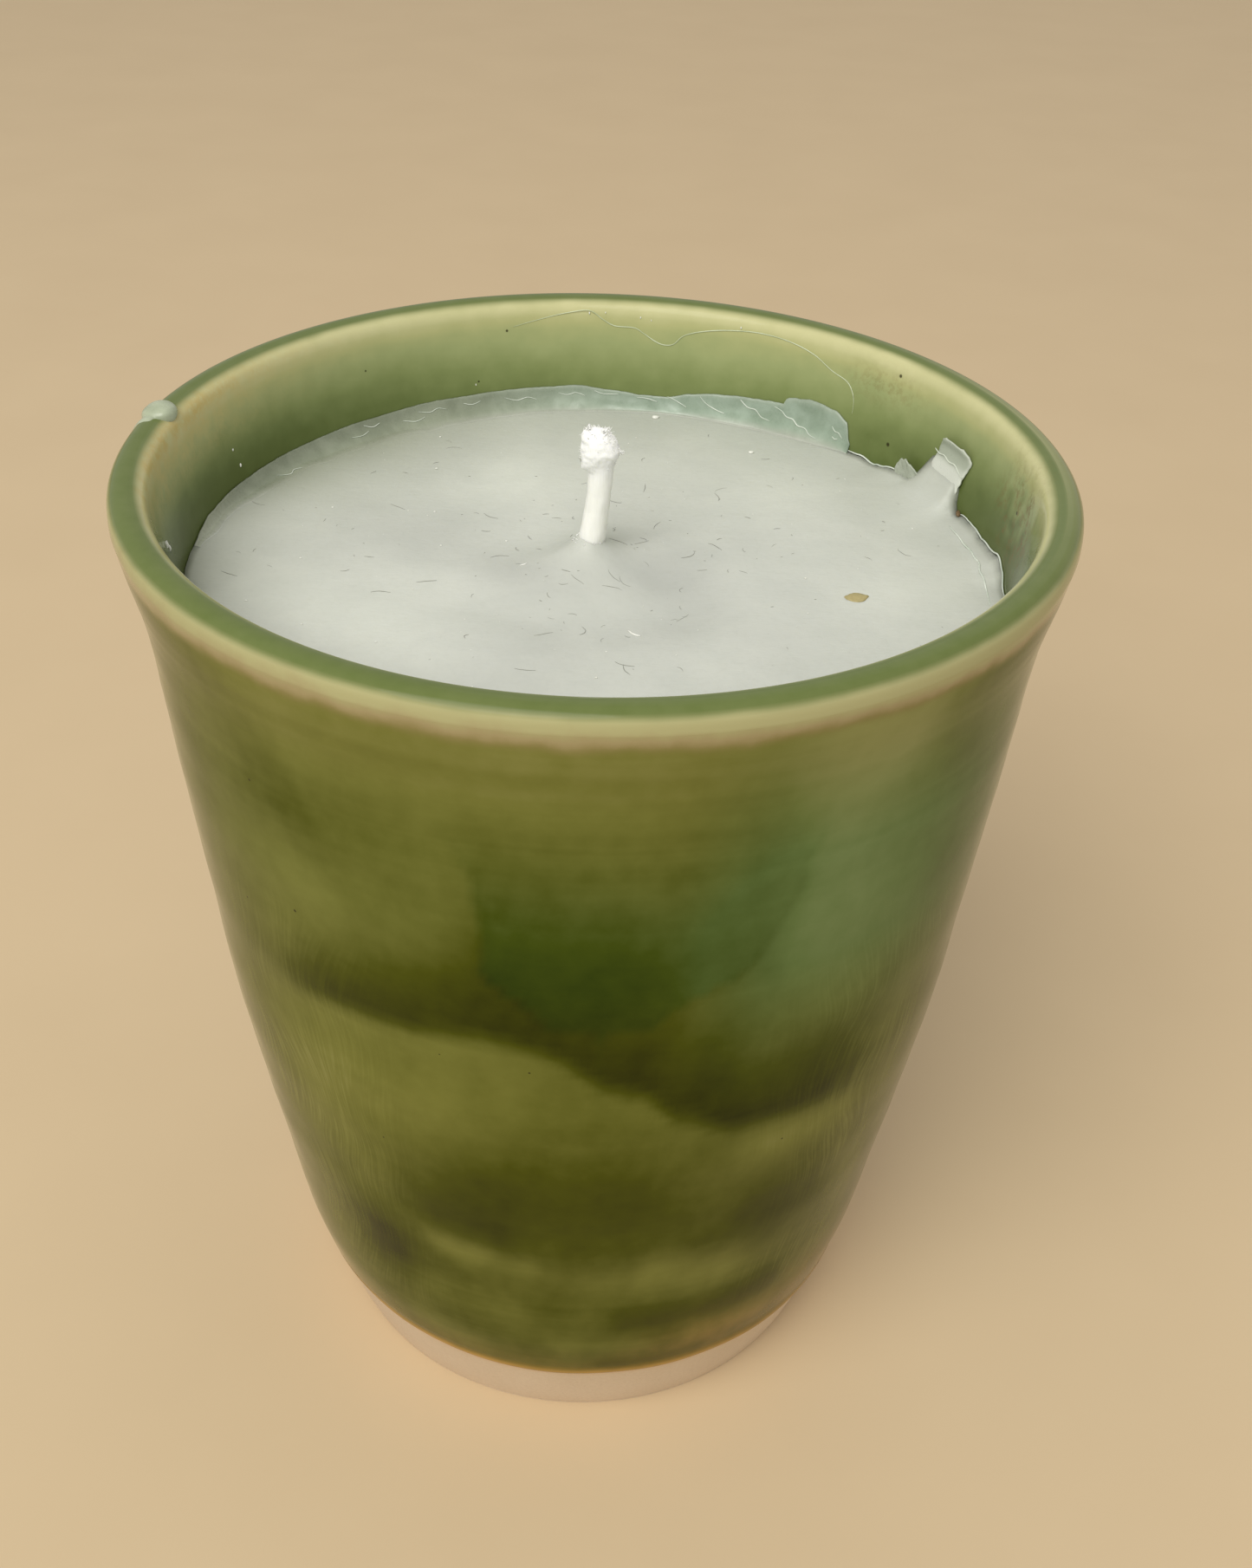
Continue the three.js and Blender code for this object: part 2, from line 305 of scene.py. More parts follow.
class Nodes:
    """A short way to write a material's nodes.

    A value is a number, a colour, another node's output, or the name of a painted number.
    """

    def __init__(self, name):
        self.material = bpy.data.materials.new(name)
        self.material.use_nodes = True
        self.tree = self.material.node_tree
        self.shader = self.tree.nodes["Principled BSDF"]

    def add(self, kind, inputs=(), **settings):
        """A node with its settings, and with values in its inputs."""
        node = self.tree.nodes.new(kind)
        for key, value in settings.items():
            setattr(node, key, value)
        for key, value in dict(inputs).items():
            self.link(value, node.inputs[key])
        return node

    def link(self, value, socket):
        """Puts a value in a socket."""
        if isinstance(value, str):
            value = self.add("ShaderNodeAttribute", attribute_name=value).outputs["Fac"]
        if isinstance(value, bpy.types.NodeSocket):
            self.tree.links.new(value, socket)
        elif socket.type == "RGBA":
            socket.default_value = (*value, 1.0)
        else:
            socket.default_value = value

    def math(self, operation, a, b=0.0, c=0.0, clamp=False):
        inputs = {0: a, 1: b, 2: c}
        return self.add("ShaderNodeMath", inputs, operation=operation, use_clamp=clamp).outputs[0]

    def times(self, a, b):
        return self.math("MULTIPLY", a, b)

    def vector(self, operation, a, b=(0.0, 0.0, 0.0)):
        """Arithmetic on two places, axis by axis."""
        return self.add("ShaderNodeVectorMath", {0: a, 1: b}, operation=operation).outputs["Vector"]

    def spread(self, value, low, high, to_low=0.0, to_high=1.0):
        """Moves a value from one range to another, held at the ends."""
        inputs = enumerate((value, low, high, to_low, to_high))
        return self.add("ShaderNodeMapRange", inputs, interpolation_type="SMOOTHSTEP").outputs[0]

    def blend(self, share, a, b, mode="MIX"):
        node = self.add("ShaderNodeMix", data_type="RGBA", blend_type=mode)
        self.link(share, node.inputs["Factor"])
        first, second = (socket for socket in node.inputs if socket.type == "RGBA")
        self.link(a, first)
        self.link(b, second)
        return next(socket for socket in node.outputs if socket.type == "RGBA")

    def ramp(self, share, stops, last):
        """A colour that changes smoothly through (share, colour) stops to the last colour at 1."""
        node = self.add("ShaderNodeValToRGB", {"Fac": share})
        elements = node.color_ramp.elements
        elements[1].color = (*last, 1)
        elements[0].color = (*stops[0][1], 1)
        for place, colour in stops[1:]:
            elements.new(place).color = (*colour, 1)
        return node.outputs["Color"]

    def point(self):
        """The point on the object, in metres."""
        return self.add("ShaderNodeTexCoord").outputs["Object"]

    def stretched_point(self, stretch=(1.0, 1.0, 1.0)):
        """The point on the object, in millimetres, with each axis stretched."""
        scale = [share / MM for share in stretch]
        return self.add("ShaderNodeMapping", {"Vector": self.point(), "Scale": scale}).outputs[0]

    def noise(self, size, detail=4.0, stretch=(1.0, 1.0, 1.0), distortion=0.0, roughness=0.5):
        """Noise from 0 to 1 with lumps of a size in millimetres."""
        inputs = {"Vector": self.stretched_point(stretch), "Scale": 1 / size, "Detail": detail}
        inputs |= {"Distortion": distortion, "Roughness": roughness}
        return self.add("ShaderNodeTexNoise", inputs).outputs["Fac"]

    def streaks(self, size, stretch):
        """Noise drawn out into long lines that run down the wall and sway a little."""
        flat = self.vector("MULTIPLY", self.point(), (1.0, 1.0, 0.0))
        round_wall = self.vector("MULTIPLY", self.vector("NORMALIZE", flat), (RIM_RADIUS, RIM_RADIUS, 0.0))
        down = self.vector("MULTIPLY", self.point(), (0.0, 0.0, 1 / (stretch * MM)))
        inputs = {"Vector": self.vector("ADD", round_wall, down)}
        inputs["Angle"] = self.times(self.noise(22, detail=1), 0.35)
        sway = self.add("ShaderNodeVectorRotate", inputs, rotation_type="Z_AXIS")
        inputs = {"Vector": sway.outputs[0], "Scale": 1 / size, "Detail": 2.0}
        return self.add("ShaderNodeTexNoise", inputs).outputs["Fac"]

    def dot(self, distance, radius):
        """1 in the core of a dot, fading to 0 at its radius."""
        return self.spread(distance, radius, 0.4 * radius)

    def speck(self, place, radius):
        """A dot with a radius in millimetres at a place in millimetres."""
        node = self.add("ShaderNodeVectorMath", {0: self.point(), 1: place * MM}, operation="DISTANCE")
        return self.dot(node.outputs["Value"], radius * MM)

    def spots(self, spacing, radius, share):
        """Scattered dots. share is how many of the cells hold one."""
        cells = self.add("ShaderNodeTexVoronoi", {"Vector": self.stretched_point(), "Scale": 1 / spacing})
        pick = self.add("ShaderNodeSeparateColor", {0: cells.outputs["Color"]})
        chosen = self.math("LESS_THAN", pick.outputs[0], share)
        return self.times(self.dot(cells.outputs["Distance"], radius / spacing), chosen)

    def finish(
        self, colour, grain, roughness, depth, strength=0.5, relief=None, spread_over=(0.3, 0.7), **values
    ):
        """Sets the shader's sockets, named with _ for spaces, and gives the material.

        The roughness goes from low to high with the grain. The relief, or else the grain, is a height
        from 0 to 1 that stands for a depth in millimetres.
        """
        inputs = {"Strength": strength, "Distance": depth * MM, "Height": relief or grain}
        bump = self.add("ShaderNodeBump", inputs)
        values |= {"Base_Color": colour, "Normal": bump.outputs[0]}
        values["Roughness"] = self.spread(grain, *spread_over, *roughness)
        for key, value in values.items():
            self.link(value, self.shader.inputs[key.replace("_", " ")])
        return self.material


# ---- Camera, floor and lights ----

CAMERA_PLACE = (0, -0.15837, 0.17226)
CAMERA_ANGLES = (34.43, 2.11, 1.30)  # degrees that it looks down, rolls, and looks to the right
CAMERA_LENS = 42.92  # millimetres, for a sensor 36 millimetres wide
CUP_MIDDLE = Vector((0, 0, 0.06))


def add_camera():
    data = bpy.data.cameras.new("camera")
    data.lens = CAMERA_LENS
    data.sensor_width = 36
    data.clip_start = 0.01
    camera = bpy.data.objects.new("camera", data)
    bpy.context.collection.objects.link(camera)
    down, roll, right = (math.radians(angle) for angle in CAMERA_ANGLES)
    turn = Matrix.Rotation(-right, 4, "Z")
    turn @= Matrix.Rotation(math.pi / 2 - down, 4, "X")
    turn @= Matrix.Rotation(roll, 4, "Z")
    camera.matrix_world = Matrix.Translation(CAMERA_PLACE) @ turn
    bpy.context.scene.camera = camera


def add_floor():
    nodes = Nodes("floor_card")
    grain = nodes.noise(30, detail=3)
    colour = nodes.blend(grain, (0.59, 0.45, 0.275), (0.63, 0.485, 0.30))
    mesh = bpy.data.meshes.new("floor")
    half = 3.0  # metres
    corners = [(-half, -half, 0), (half, -half, 0), (half, half, 0), (-half, half, 0)]
    mesh.from_pydata(corners, [], [(0, 1, 2, 3)])
    nodes.link(colour, nodes.shader.inputs["Base Color"])
    nodes.link(0.8, nodes.shader.inputs["Roughness"])
    mesh.materials.append(nodes.material)
    floor = bpy.data.objects.new("floor", mesh)
    bpy.context.collection.objects.link(floor)


def add_light(name, place, size, power, colour):
    """A round soft light that points at the middle of the cup."""
    data = bpy.data.lights.new(name, "AREA")
    data.shape = "DISK"
    data.size = size
    data.energy = power
    data.color = colour
    light = bpy.data.objects.new(name, data)
    light.location = place
    light.rotation_euler = (CUP_MIDDLE - Vector(place)).to_track_quat("-Z", "Y").to_euler()
    bpy.context.collection.objects.link(light)


def add_lights():
    add_light("window", (-0.33, -0.70, 0.95), 0.9, 12.0, (1.0, 0.985, 0.95))
    add_light("fill", (0.25, 0.9, 0.8), 0.8, 0.5, (0.97, 0.99, 1.0))
    world = bpy.data.worlds.new("studio")
    world.use_nodes = True
    background = world.node_tree.nodes["Background"]
    background.inputs["Color"].default_value = (1.0, 0.98, 0.94, 1)
    background.inputs["Strength"].default_value = 0.55
    bpy.context.scene.world = world
    bpy.context.scene.view_settings.view_transform = "Standard"


# ---- Glaze ----

# The lower edge of a band of painted shade on the front of the glaze, a reflected shadow: (degrees to the
# right of the front, height).
SHADE_BAND_EDGE = [(-50, 60), (-25, 62), (-12, 63.2), (-5, 62.6), (8, 57), (15, 53), (23, 50.3)]
SHADE_BAND_EDGE += [(34, 49.3), (50, 47.5)]
# How far above that edge the painted shade reaches before the glaze is pale again.
SHADE_BAND_REACH = [(-45, 8), (-32, 11), (-20, 14), (-8, 24), (6, 27), (15, 21), (24, 15), (45, 17)]
# Soft strokes of painted reflection (pale, positive) and painted shade (dark, negative) on the glaze:
# ((degrees to the right of the front, height), (the same at its other end), half width, strength).
LIGHT_AND_SHADE_STROKES = [
    ((-50, 89), (-38, 84), 4.0, -0.30),
    ((-44, 77), (-36, 74), 4.0, 0.28),
    ((-47, 50), (-37, 37), 6.0, 0.30),
    ((-12, 41), (8, 40), 5.0, -0.14),
    ((-22, 36), (-14, 35), 3.0, -0.22),
    ((-47, 27), (-34, 26), 4.5, -0.42),
    ((-22, 30.6), (-17, 30.2), 2.4, 0.30),
    ((-21, 30.2), (-9, 29.4), 2.2, 0.22),
    ((-9, 28.4), (10, 27.6), 3.0, 0.20),
    ((-30, 22.5), (-12, 21.5), 2.2, 0.14),
    ((14, 29.0), (25, 27.0), 3.2, 0.44),
    ((28, 46.0), (42, 45.5), 3.2, 0.36),
    ((30, 35.0), (46, 31.0), 3.6, -0.25),
    ((9, 20.5), (36, 20.0), 2.3, -0.36),
    ((-33, 14.0), (-19, 13.2), 2.4, 0.22),
    ((-2, 15.6), (12, 15.2), 1.5, 0.20),
    ((22, 15.2), (36, 14.6), 1.9, 0.34),
    ((6, 11.2), (24, 11.2), 1.4, -0.28),
]
DEGREE_WIDTH = 0.66  # millimetres that a degree spans on the wall


def stroke_share(turn, height, stroke):
    """How strongly a soft stroke of painted reflection and shade covers a place on the wall."""
    start, end, width, strength = stroke
    a = Vector((start[0] * DEGREE_WIDTH, start[1]))
    b = Vector((end[0] * DEGREE_WIDTH, end[1]))
    place = Vector((turn * DEGREE_WIDTH, height))
    share = clamp((place - a).dot(b - a) / (b - a).length_squared)
    return strength * hump((place - a.lerp(b, share)).length, width)


def mirrored_turn(angle):
    """Degrees from the front, folded so that the back is like the front, and 1 if it is on the back."""
    turn = degrees_from(angle, FRONT)
    if abs(turn) <= 90:
        return turn, 0
    return degrees_from(180 - turn, 0) * 0.9, 1


# Half width of the shield-shaped patch of painted shade on the front, as (height, degrees).
SHADE_SHIELD_HALF = [(64.3, 0), (66.2, 8), (72, 16.5), (81, 19.5), (88, 24)]


def inside_shade_shield(turn, height):
    """Degrees that a place is inside the shield of painted shade, negative outside it."""
    middle = 2 + 4 * smoothstep(height, 66, 80)
    return level_at(SHADE_SHIELD_HALF, height) - abs(turn - middle)


def shade_shield_depth(turn, height):
    """1 inside the shield of painted shade above the band's edge, with a soft edge."""
    return smoothstep(inside_shade_shield(turn, height), -0.6, 1.2) * smoothstep(height, 90, 76)


def shade_shield_outline(turn, height):
    """1 on the ragged darker line of painted shade that borders the shield."""
    inside = inside_shade_shield(turn, height) + 0.8 * rough((turn, height, 0), 3, 6)
    return hump(inside - 0.8, 1.0) * smoothstep(height, 88, 82) * smoothstep(height, 64, 67)


@functools.cache
def glaze_paleness_and_painted_light(angle, height):
    """0 where the glaze is dark, 1 where it is milky: partly its thickness, and partly painted reflection and
    painted shade.
    """
    turn, side = mirrored_turn(angle)
    turn += 2.2 * rough((turn * 0.5, side * 40, height * 0.6), 11, 2)
    above = height - level_at(SHADE_BAND_EDGE, turn) - side * 4
    reach = level_at(SHADE_BAND_REACH, turn)
    top = 0.10 + 0.62 * smoothstep(above, 1.0, reach) + 0.34 * smoothstep(height, 84, 96)
    top += 0.5 * smoothstep(turn, 18, 30) * smoothstep(above, 8, 26)
    right = smoothstep(turn, -30, 14)
    fall = smoothstep(-above, lerp(10, 1, right), lerp(25, 15, right))
    below = lerp(0.94, 0.70, right) - lerp(0.56, 0.26, right) * fall + 0.16 * smoothstep(height, 30, 22)
    pale = lerp(below, top, smoothstep(above, -1.8, 1.6))
    pale += sum(stroke_share(turn, height, stroke) for stroke in LIGHT_AND_SHADE_STROKES)
    pale -= 0.06 * shade_shield_depth(turn, height) + 0.08 * shade_shield_outline(turn, height)
    flank = smoothstep(abs(turn), 34, 50)
    pale = lerp(pale, 0.76 - 0.12 * smoothstep(abs(turn), 44, 60), 0.9 * flank)
    pale += 0.12 * rough((turn, height, side * 30), 8, 3) + 0.06 * rough((turn, height, side * 30), 2.5, 4)
    return clamp(pale, 0.02, 1.5)


def glaze_coolness(angle, height):
    """1 in the blue-green drift on the right of the front, 0 in the olive glaze."""
    turn, _ = mirrored_turn(angle)
    drift = smoothstep(turn, 8, 24) * hump(height - 76, 15)
    # Greener inside the shield of painted shade.
    by_darkness = 0.65 * shade_shield_depth(turn, height) * hump(height - 72, 11)
    return clamp(0.16 * hump(height - 78, 16) + drift + by_darkness)


# Dark iron specks in the glaze, as (degrees, height, radius, 1 if on the inside of the cup).
IRON_SPECKS = [
    (39.6, 98.2, 0.26, 1), (105, 96.9, 0.20, 1), (129, 95.0, 0.16, 1), (110, 91.7, 0.16, 1),
    (39, 91.0, 0.30, 1), (3, 94.4, 0.26, 1), (-129, 71.0, 0.22, 0), (-140, 68.0, 0.16, 0),
    (-97, 59.5, 0.18, 0), (-109, 59.8, 0.16, 0), (-133, 84.0, 0.20, 0), (-120, 45.0, 0.14, 0),
    (-60, 46.0, 0.16, 0),
]


def glaze_colours(nodes):
    """Colour of the glaze by its paleness, which holds its thickness and painted reflection and shade: from
    deep green through olive to milky green.
    """
    pale = "paleness_and_painted_light"
    mottle = nodes.noise(2.0, detail=6, roughness=0.6)
    pale = nodes.math("MULTIPLY_ADD", nodes.math("SUBTRACT", mottle, 0.5), 0.22, pale)
    rings = nodes.noise(1.7, detail=2, stretch=(0.03, 0.03, 1.0))
    rings = nodes.times(nodes.math("SUBTRACT", rings, 0.5), "ringed")
    pale = nodes.math("MULTIPLY_ADD", rings, 0.30, pale)
    fur = nodes.math("SUBTRACT", nodes.spread(nodes.streaks(0.34, 20), 0.40, 0.70), 0.35)
    patches = nodes.spread(nodes.noise(9, detail=2), 0.35, 0.62, 0.25, 1.0)
    fur = nodes.times(fur, nodes.times("fur", patches))
    pale = nodes.math("MULTIPLY_ADD", fur, 0.28, pale)
    share = nodes.math("DIVIDE", pale, 1.5, clamp=True)
    olive = [(0.0, (0.023, 0.025, 0.0003)), (0.27, (0.060, 0.067, 0.0015)), (0.66, (0.164, 0.168, 0.034))]
    olive = nodes.ramp(share, olive, (0.265, 0.258, 0.086))
    green = [(0.0, (0.010, 0.028, 0.0006)), (0.27, (0.038, 0.066, 0.004)), (0.66, (0.114, 0.172, 0.053))]
    green = nodes.ramp(share, green, (0.190, 0.252, 0.104))
    return nodes.blend("coolness", olive, green), mottle


def inner_glaze(nodes, blotch):
    """Colour of the glaze inside the cup: deep by the wax, light by the lip, with a tan blush; its depth of
    tone holds pooled glaze, painted shade by the wax and painted light on the back.
    """
    depth = nodes.math("MULTIPLY_ADD", blotch, 0.16, "inner_tone_and_painted_light")
    stops = [(0.0, (0.07, 0.09, 0.018)), (0.2, (0.115, 0.148, 0.045)), (0.4, (0.20, 0.24, 0.09))]
    stops += [(0.6, (0.30, 0.335, 0.15)), (0.8, (0.41, 0.41, 0.19))]
    inner = nodes.ramp(depth, stops, (0.54, 0.52, 0.28))
    grain = nodes.noise(0.7, detail=5, roughness=0.7)
    tan = nodes.times(nodes.spread(grain, 0.3, 0.6, 0.35, 1.0), "tan")
    return nodes.blend(tan, inner, (0.53, 0.42, 0.17))


def iron_specks(nodes):
    """1 in the dark specks: small ones all over, and those of IRON_SPECKS."""
    iron = nodes.spots(5.5, 0.16, 0.2)
    for angle, height, radius, is_inside in IRON_SPECKS:
        wall = inside_radius(height) if is_inside else outside_radius(height)
        iron = nodes.math("MAXIMUM", iron, nodes.speck(around(wall, angle, height), radius))
    return iron


def glaze_material():
    """Olive celadon: dark where thick, milky where thin, with painted reflection and shade, and pale where it
    breaks over the lip.
    """
    nodes = Nodes("olive_glaze")
    colour, mottle = glaze_colours(nodes)
    warmth = nodes.math("MULTIPLY_ADD", nodes.noise(1.6, detail=5), 0.5, nodes.times("paleness_and_painted_light", 0.6))
    stops = [(0.0, (0.05, 0.034, 0.001)), (0.5, (0.118, 0.088, 0.008))]
    warm = nodes.ramp(warmth, stops, (0.27, 0.165, 0.04))
    colour = nodes.blend("foot_warmth", colour, warm)
    colour = nodes.blend("flash", colour, (0.47, 0.28, 0.075))
    blotch = nodes.math("SUBTRACT", nodes.noise(2.6, detail=5), 0.5)
    breaking = nodes.math("MULTIPLY_ADD", blotch, 0.5, "breaking")
    stops = [(0.0, (0.17, 0.158, 0.038)), (0.38, (0.25, 0.215, 0.085)), (0.66, (0.345, 0.29, 0.15))]
    edge = nodes.ramp(breaking, stops, (0.39, 0.375, 0.19))
    colour = nodes.blend(nodes.spread("breaking", 0.0, 0.5), colour, edge)
    colour = nodes.blend("inner", colour, inner_glaze(nodes, blotch))
    crest = nodes.blend(nodes.noise(1.8), (0.110, 0.145, 0.040), (0.146, 0.178, 0.062))
    colour = nodes.blend("crest", colour, crest)
    grain = nodes.noise(0.8, detail=6, roughness=0.7)
    colour = nodes.blend(nodes.times(nodes.spread(grain, 0.42, 0.62), "rust"), colour, (0.17, 0.10, 0.028))
    iron = iron_specks(nodes)
    colour = nodes.blend(nodes.times(iron, 0.85), colour, (0.022, 0.016, 0.005))
    relief = nodes.math("ADD", nodes.times(nodes.noise(1.3, detail=2), 0.5), nodes.times(iron, -0.5))
    return nodes.finish(colour, mottle, (0.09, 0.15), 0.02, relief=relief, IOR=1.18)


def clay_material():
    """Bare fired stoneware: pale, matt, with fine grog, turning lines and a flashed edge by the glaze."""
    nodes = Nodes("bare_clay")
    grog = nodes.noise(0.35, detail=5, roughness=0.65)
    cloud = nodes.noise(7, detail=3)
    lines = nodes.noise(0.45, detail=2, stretch=(0.03, 0.03, 1.0))
    colour = nodes.blend(cloud, (0.60, 0.48, 0.34), (0.67, 0.55, 0.41))
    colour = nodes.blend(nodes.spread(grog, 0.35, 0.75, 0.0, 0.3), colour, (0.52, 0.40, 0.27))
    colour = nodes.blend("flash", colour, (0.56, 0.33, 0.12))
    colour = nodes.blend(nodes.times(nodes.spots(1.9, 0.11, 0.3), 0.55), colour, (0.16, 0.09, 0.04))
    relief = nodes.math("ADD", nodes.times(grog, 0.6), nodes.times(lines, 0.4))
    return nodes.finish(colour, grog, (0.78, 0.92), 0.06, 0.7, relief)


# ---- Cup ----

CUP_COLUMNS = 450
WALL_START = 4  # steps at the foot of the wall whose place the rolled edge takes
# Rolled lower edge of the glaze, as (radius, height from the glaze's edge).
GLAZE_ROLL = [(30.66, -0.4), (30.78, -0.2), (30.88, 0.1), (30.93, 0.6)]
FOOT_CURVE = curve(FOOT, 3)
WALL_CURVE = curve(OUTER_WALL, 13)[WALL_START:-1]
LIP_CURVE = curve(LIP, 4)
INSIDE_CURVE = curve(INNER_WALL, 5)[1:]
LIP_START = len(FOOT_CURVE) + len(GLAZE_ROLL) + len(WALL_CURVE)


def glaze_edge(angle):
    """Height of the wavering lower edge of the glaze."""
    foot = around(31, angle)
    return GLAZE_LINE + 0.25 * rough(foot, 9, 5) - 0.35 * math.cos(math.radians(angle))


def throwing_rings(height, angle):
    """Relief of the potter's fingers: soft rings that climb a little as they go round."""
    climb = height + 2.5 * angle / 360
    soft = rough((0, 0, climb), 4.5, 8) * 0.10
    fine = math.sin(climb * TURN / 1.7) * 0.012 * smoothstep(height, 70, 80)
    return (soft + fine) * smoothstep(height, 10, 16) * smoothstep(height, 97.5, 92)


def cup_section(angle):
    """The cup's outline at one angle, from the middle of the recess round to the middle of the floor."""
    edge = glaze_edge(angle)
    shift = edge - GLAZE_LINE
    foot = [(r, max(0.0, z + shift * smoothstep(z, 5, 9))) for r, z in FOOT_CURVE]
    roll = [(r, edge + z) for r, z in GLAZE_ROLL]
    wall = []
    for r, z in WALL_CURVE:
        # The wall swells a little where the glaze is dark, painted shade included.
        by_darkness = 0.12 * (0.6 - glaze_paleness_and_painted_light(angle, z)) * smoothstep(z, 12, 20) * smoothstep(z, 96, 90)
        wall.append((r + throwing_rings(z, angle) + by_darkness - BOX_MARGIN, z))
    lip = [(r - BOX_MARGIN, z - BOX_MARGIN) for r, z in LIP_CURVE]
    return [*foot, *roll, *wall, *lip, *INSIDE_CURVE, (0, FLOOR_LEVEL)]


def add_cup():
    angles = [360 * column / CUP_COLUMNS for column in range(CUP_COLUMNS)]
    sections = [cup_section(angle) for angle in angles]
    rings = len(sections[0])
    places, looks = [], []
    for ring in range(rings):
        is_inside = ring >= LIP_START + len(LIP_CURVE) / 2
        for angle, section in zip(angles, sections):
            radius, height = section[ring]
            places.append(around(radius, angle, height) * MM)
            looks.append(cup_look(angle, radius, height, is_inside))
    shape = places, ring_faces(rings, CUP_COLUMNS)
    cup = add_piece("cup", shape, [clay_material(), glaze_material()], "cup_body")
    for face in cup.data.polygons:
        face.material_index = 0 if face.index // CUP_COLUMNS < len(FOOT_CURVE) else 1
    paint(cup, looks)


# Lightness of the glaze down the inside of the wall, as (height, lightness), at its sides and at its back:
# darker towards the wax from pooled glaze and painted shade, lighter at the back with painted light.
SIDE_TONE_AND_SHADE = [(88, 0.02), (91, 0.09), (93, 0.19), (95, 0.37), (97, 0.63), (98, 0.84), (99, 0.98)]
BACK_TONE_AND_LIGHT = [(88, 0.27), (91, 0.35), (93, 0.46), (95, 0.60), (97, 0.69), (98, 0.83), (99, 0.98)]


def inside_look(angle, radius, height, waver):
    """The glaze inside: dark by the wax from pooled glaze and painted shade, lighter at the back with painted
    light, a rusty run on the right with painted glints, and a tan blush on the left.
    """
    lit_back = hump(degrees_from(angle, 80), 62)
    light = lerp(level_at(SIDE_TONE_AND_SHADE, height), level_at(BACK_TONE_AND_LIGHT, height), lit_back) + 0.08 * waver
    run = hump(degrees_from(angle, 1) * DEGREE_WIDTH, 5) * hump(height - 94.4, 3.4)
    # Mottled lightness in the run, whose pale spots are painted glints.
    light += run * (0.30 * rough((angle * 0.8, height, 0), 1.5, 13) - 0.03)
    light += 0.13 * hump(degrees_from(angle, 172), 24) * smoothstep(height, 91, 95)
    rust = run * (0.7 + 1.6 * rough((angle * 0.9, height * 0.6, 0), 1.6, 14))
    rust += 0.30 * hump(degrees_from(angle, 42) * DEGREE_WIDTH, 4.5) * hump(height - 96.6, 1.6)
    tan = 0.48 * smoothstep(height, 92.5, 98) + 0.5 * hump(height - 98.9, 0.7)
    tan *= hump(degrees_from(angle, 174), 26) * (1 + 0.9 * rough(around(radius, angle, height), 1.5, 15))
    crest = smoothstep(radius, 40.9 + 0.3 * waver, 41.8)
    return {"paleness_and_painted_light": 1.0, "crest": crest, "inner_tone_and_painted_light": light, "rust": clamp(rust), "tan": clamp(tan)}


def outside_look(angle, height, waver):
    """The glaze outside: pools, drifts and painted reflection and shade, furry streaks on the flanks, and
    pale breaks under the lip.
    """
    turn = abs(degrees_from(angle, FRONT))
    flank = smoothstep(turn, 20, 46) * smoothstep(turn, 125, 85)
    # On the right of the lip the dark crest thins out to show its paler edge: a painted highlight.
    crest_less_highlight = 1 - 0.45 * hump(degrees_from(angle, 12), 26)
    breaking_share = 1 + 0.4 * hump(degrees_from(angle, -35), 40)
    return {
        "paleness_and_painted_light": glaze_paleness_and_painted_light(angle, height),
        "coolness": glaze_coolness(angle, height),
        "crest": smoothstep(height, 99.0 + 0.25 * waver, 99.7) * crest_less_highlight,
        "breaking": smoothstep(height, 95.2 + 1.1 * waver, 98.9) * breaking_share,
        "fur": flank * smoothstep(height, 13, 20) * smoothstep(height, 80, 50),
        "ringed": 0.3 + 0.7 * max(smoothstep(height, 74, 88), smoothstep(height, 30, 20)),
    }


def cup_look(angle, radius, height, is_inside):
    """What the glaze and clay do at a place: see the materials that read these numbers."""
    place = around(radius, angle, height)
    waver = 0.5 * rough(place, 6, 11) + 0.3 * rough(place, 1.6, 12)
    look = dict.fromkeys(("coolness", "breaking", "rust", "tan", "fur", "ringed", "inner_tone_and_painted_light"), 0.0)
    look |= inside_look(angle, radius, height, waver) if is_inside else outside_look(angle, height, waver)
    above_clay = height - glaze_edge(angle)
    left_warmth = 0.45 * smoothstep(above_clay, 6 + 3 * waver, 0)
    right_warmth = 0.8 * smoothstep(above_clay, 14 + 3 * waver, 2)
    warmth = lerp(left_warmth, right_warmth, smoothstep(degrees_from(angle, FRONT), 2, 26))
    look["foot_warmth"] = warmth * smoothstep(above_clay, -0.2, 0.2)
    look["flash"] = clamp((0.85 + 0.5 * waver) * hump(above_clay + 0.1, 0.62))
    look["inner"] = float(is_inside)
    return look


# ---- Wax ----

# Where the wax meets the wall, as (degrees, height). It broke away in a ragged edge on the right.
WAX_EDGE = [
    (-180, 88.2), (-176, 87.9), (-173, 87.3), (-168, 88.1), (-8, 88.2), (-2, 88.0), (1, 89.0), (4, 89.35),
    (8, 88.85), (12, 88.75), (14, 89.0), (18, 88.95), (21, 88.7), (34, 89.1), (37, 88.9), (41, 88.4),
    (44, 88.7), (47, 88.6), (56, 88.3), (80, 88.5), (110, 88.8), (160, 88.8), (172, 88.4), (180, 88.2),
]
# The colour of thin wax over the dark wall, also used as painted shade by the wall.
THIN_AND_SHADED_WAX = (0.265, 0.285, 0.20)  # colour of wax that the dark wall shows through
WAX_TINT = (0.865, 0.865, 0.87)  # shade of the wax between its greyest and its palest drifts
# Waves of the wax, as (height, length, seed).
WAX_WAVES = [(0.30, 19, 21), (0.05, 5, 22), (0.012, 1.2, 23)]
WAX_COLUMNS = 480
WAX_RINGS = 84


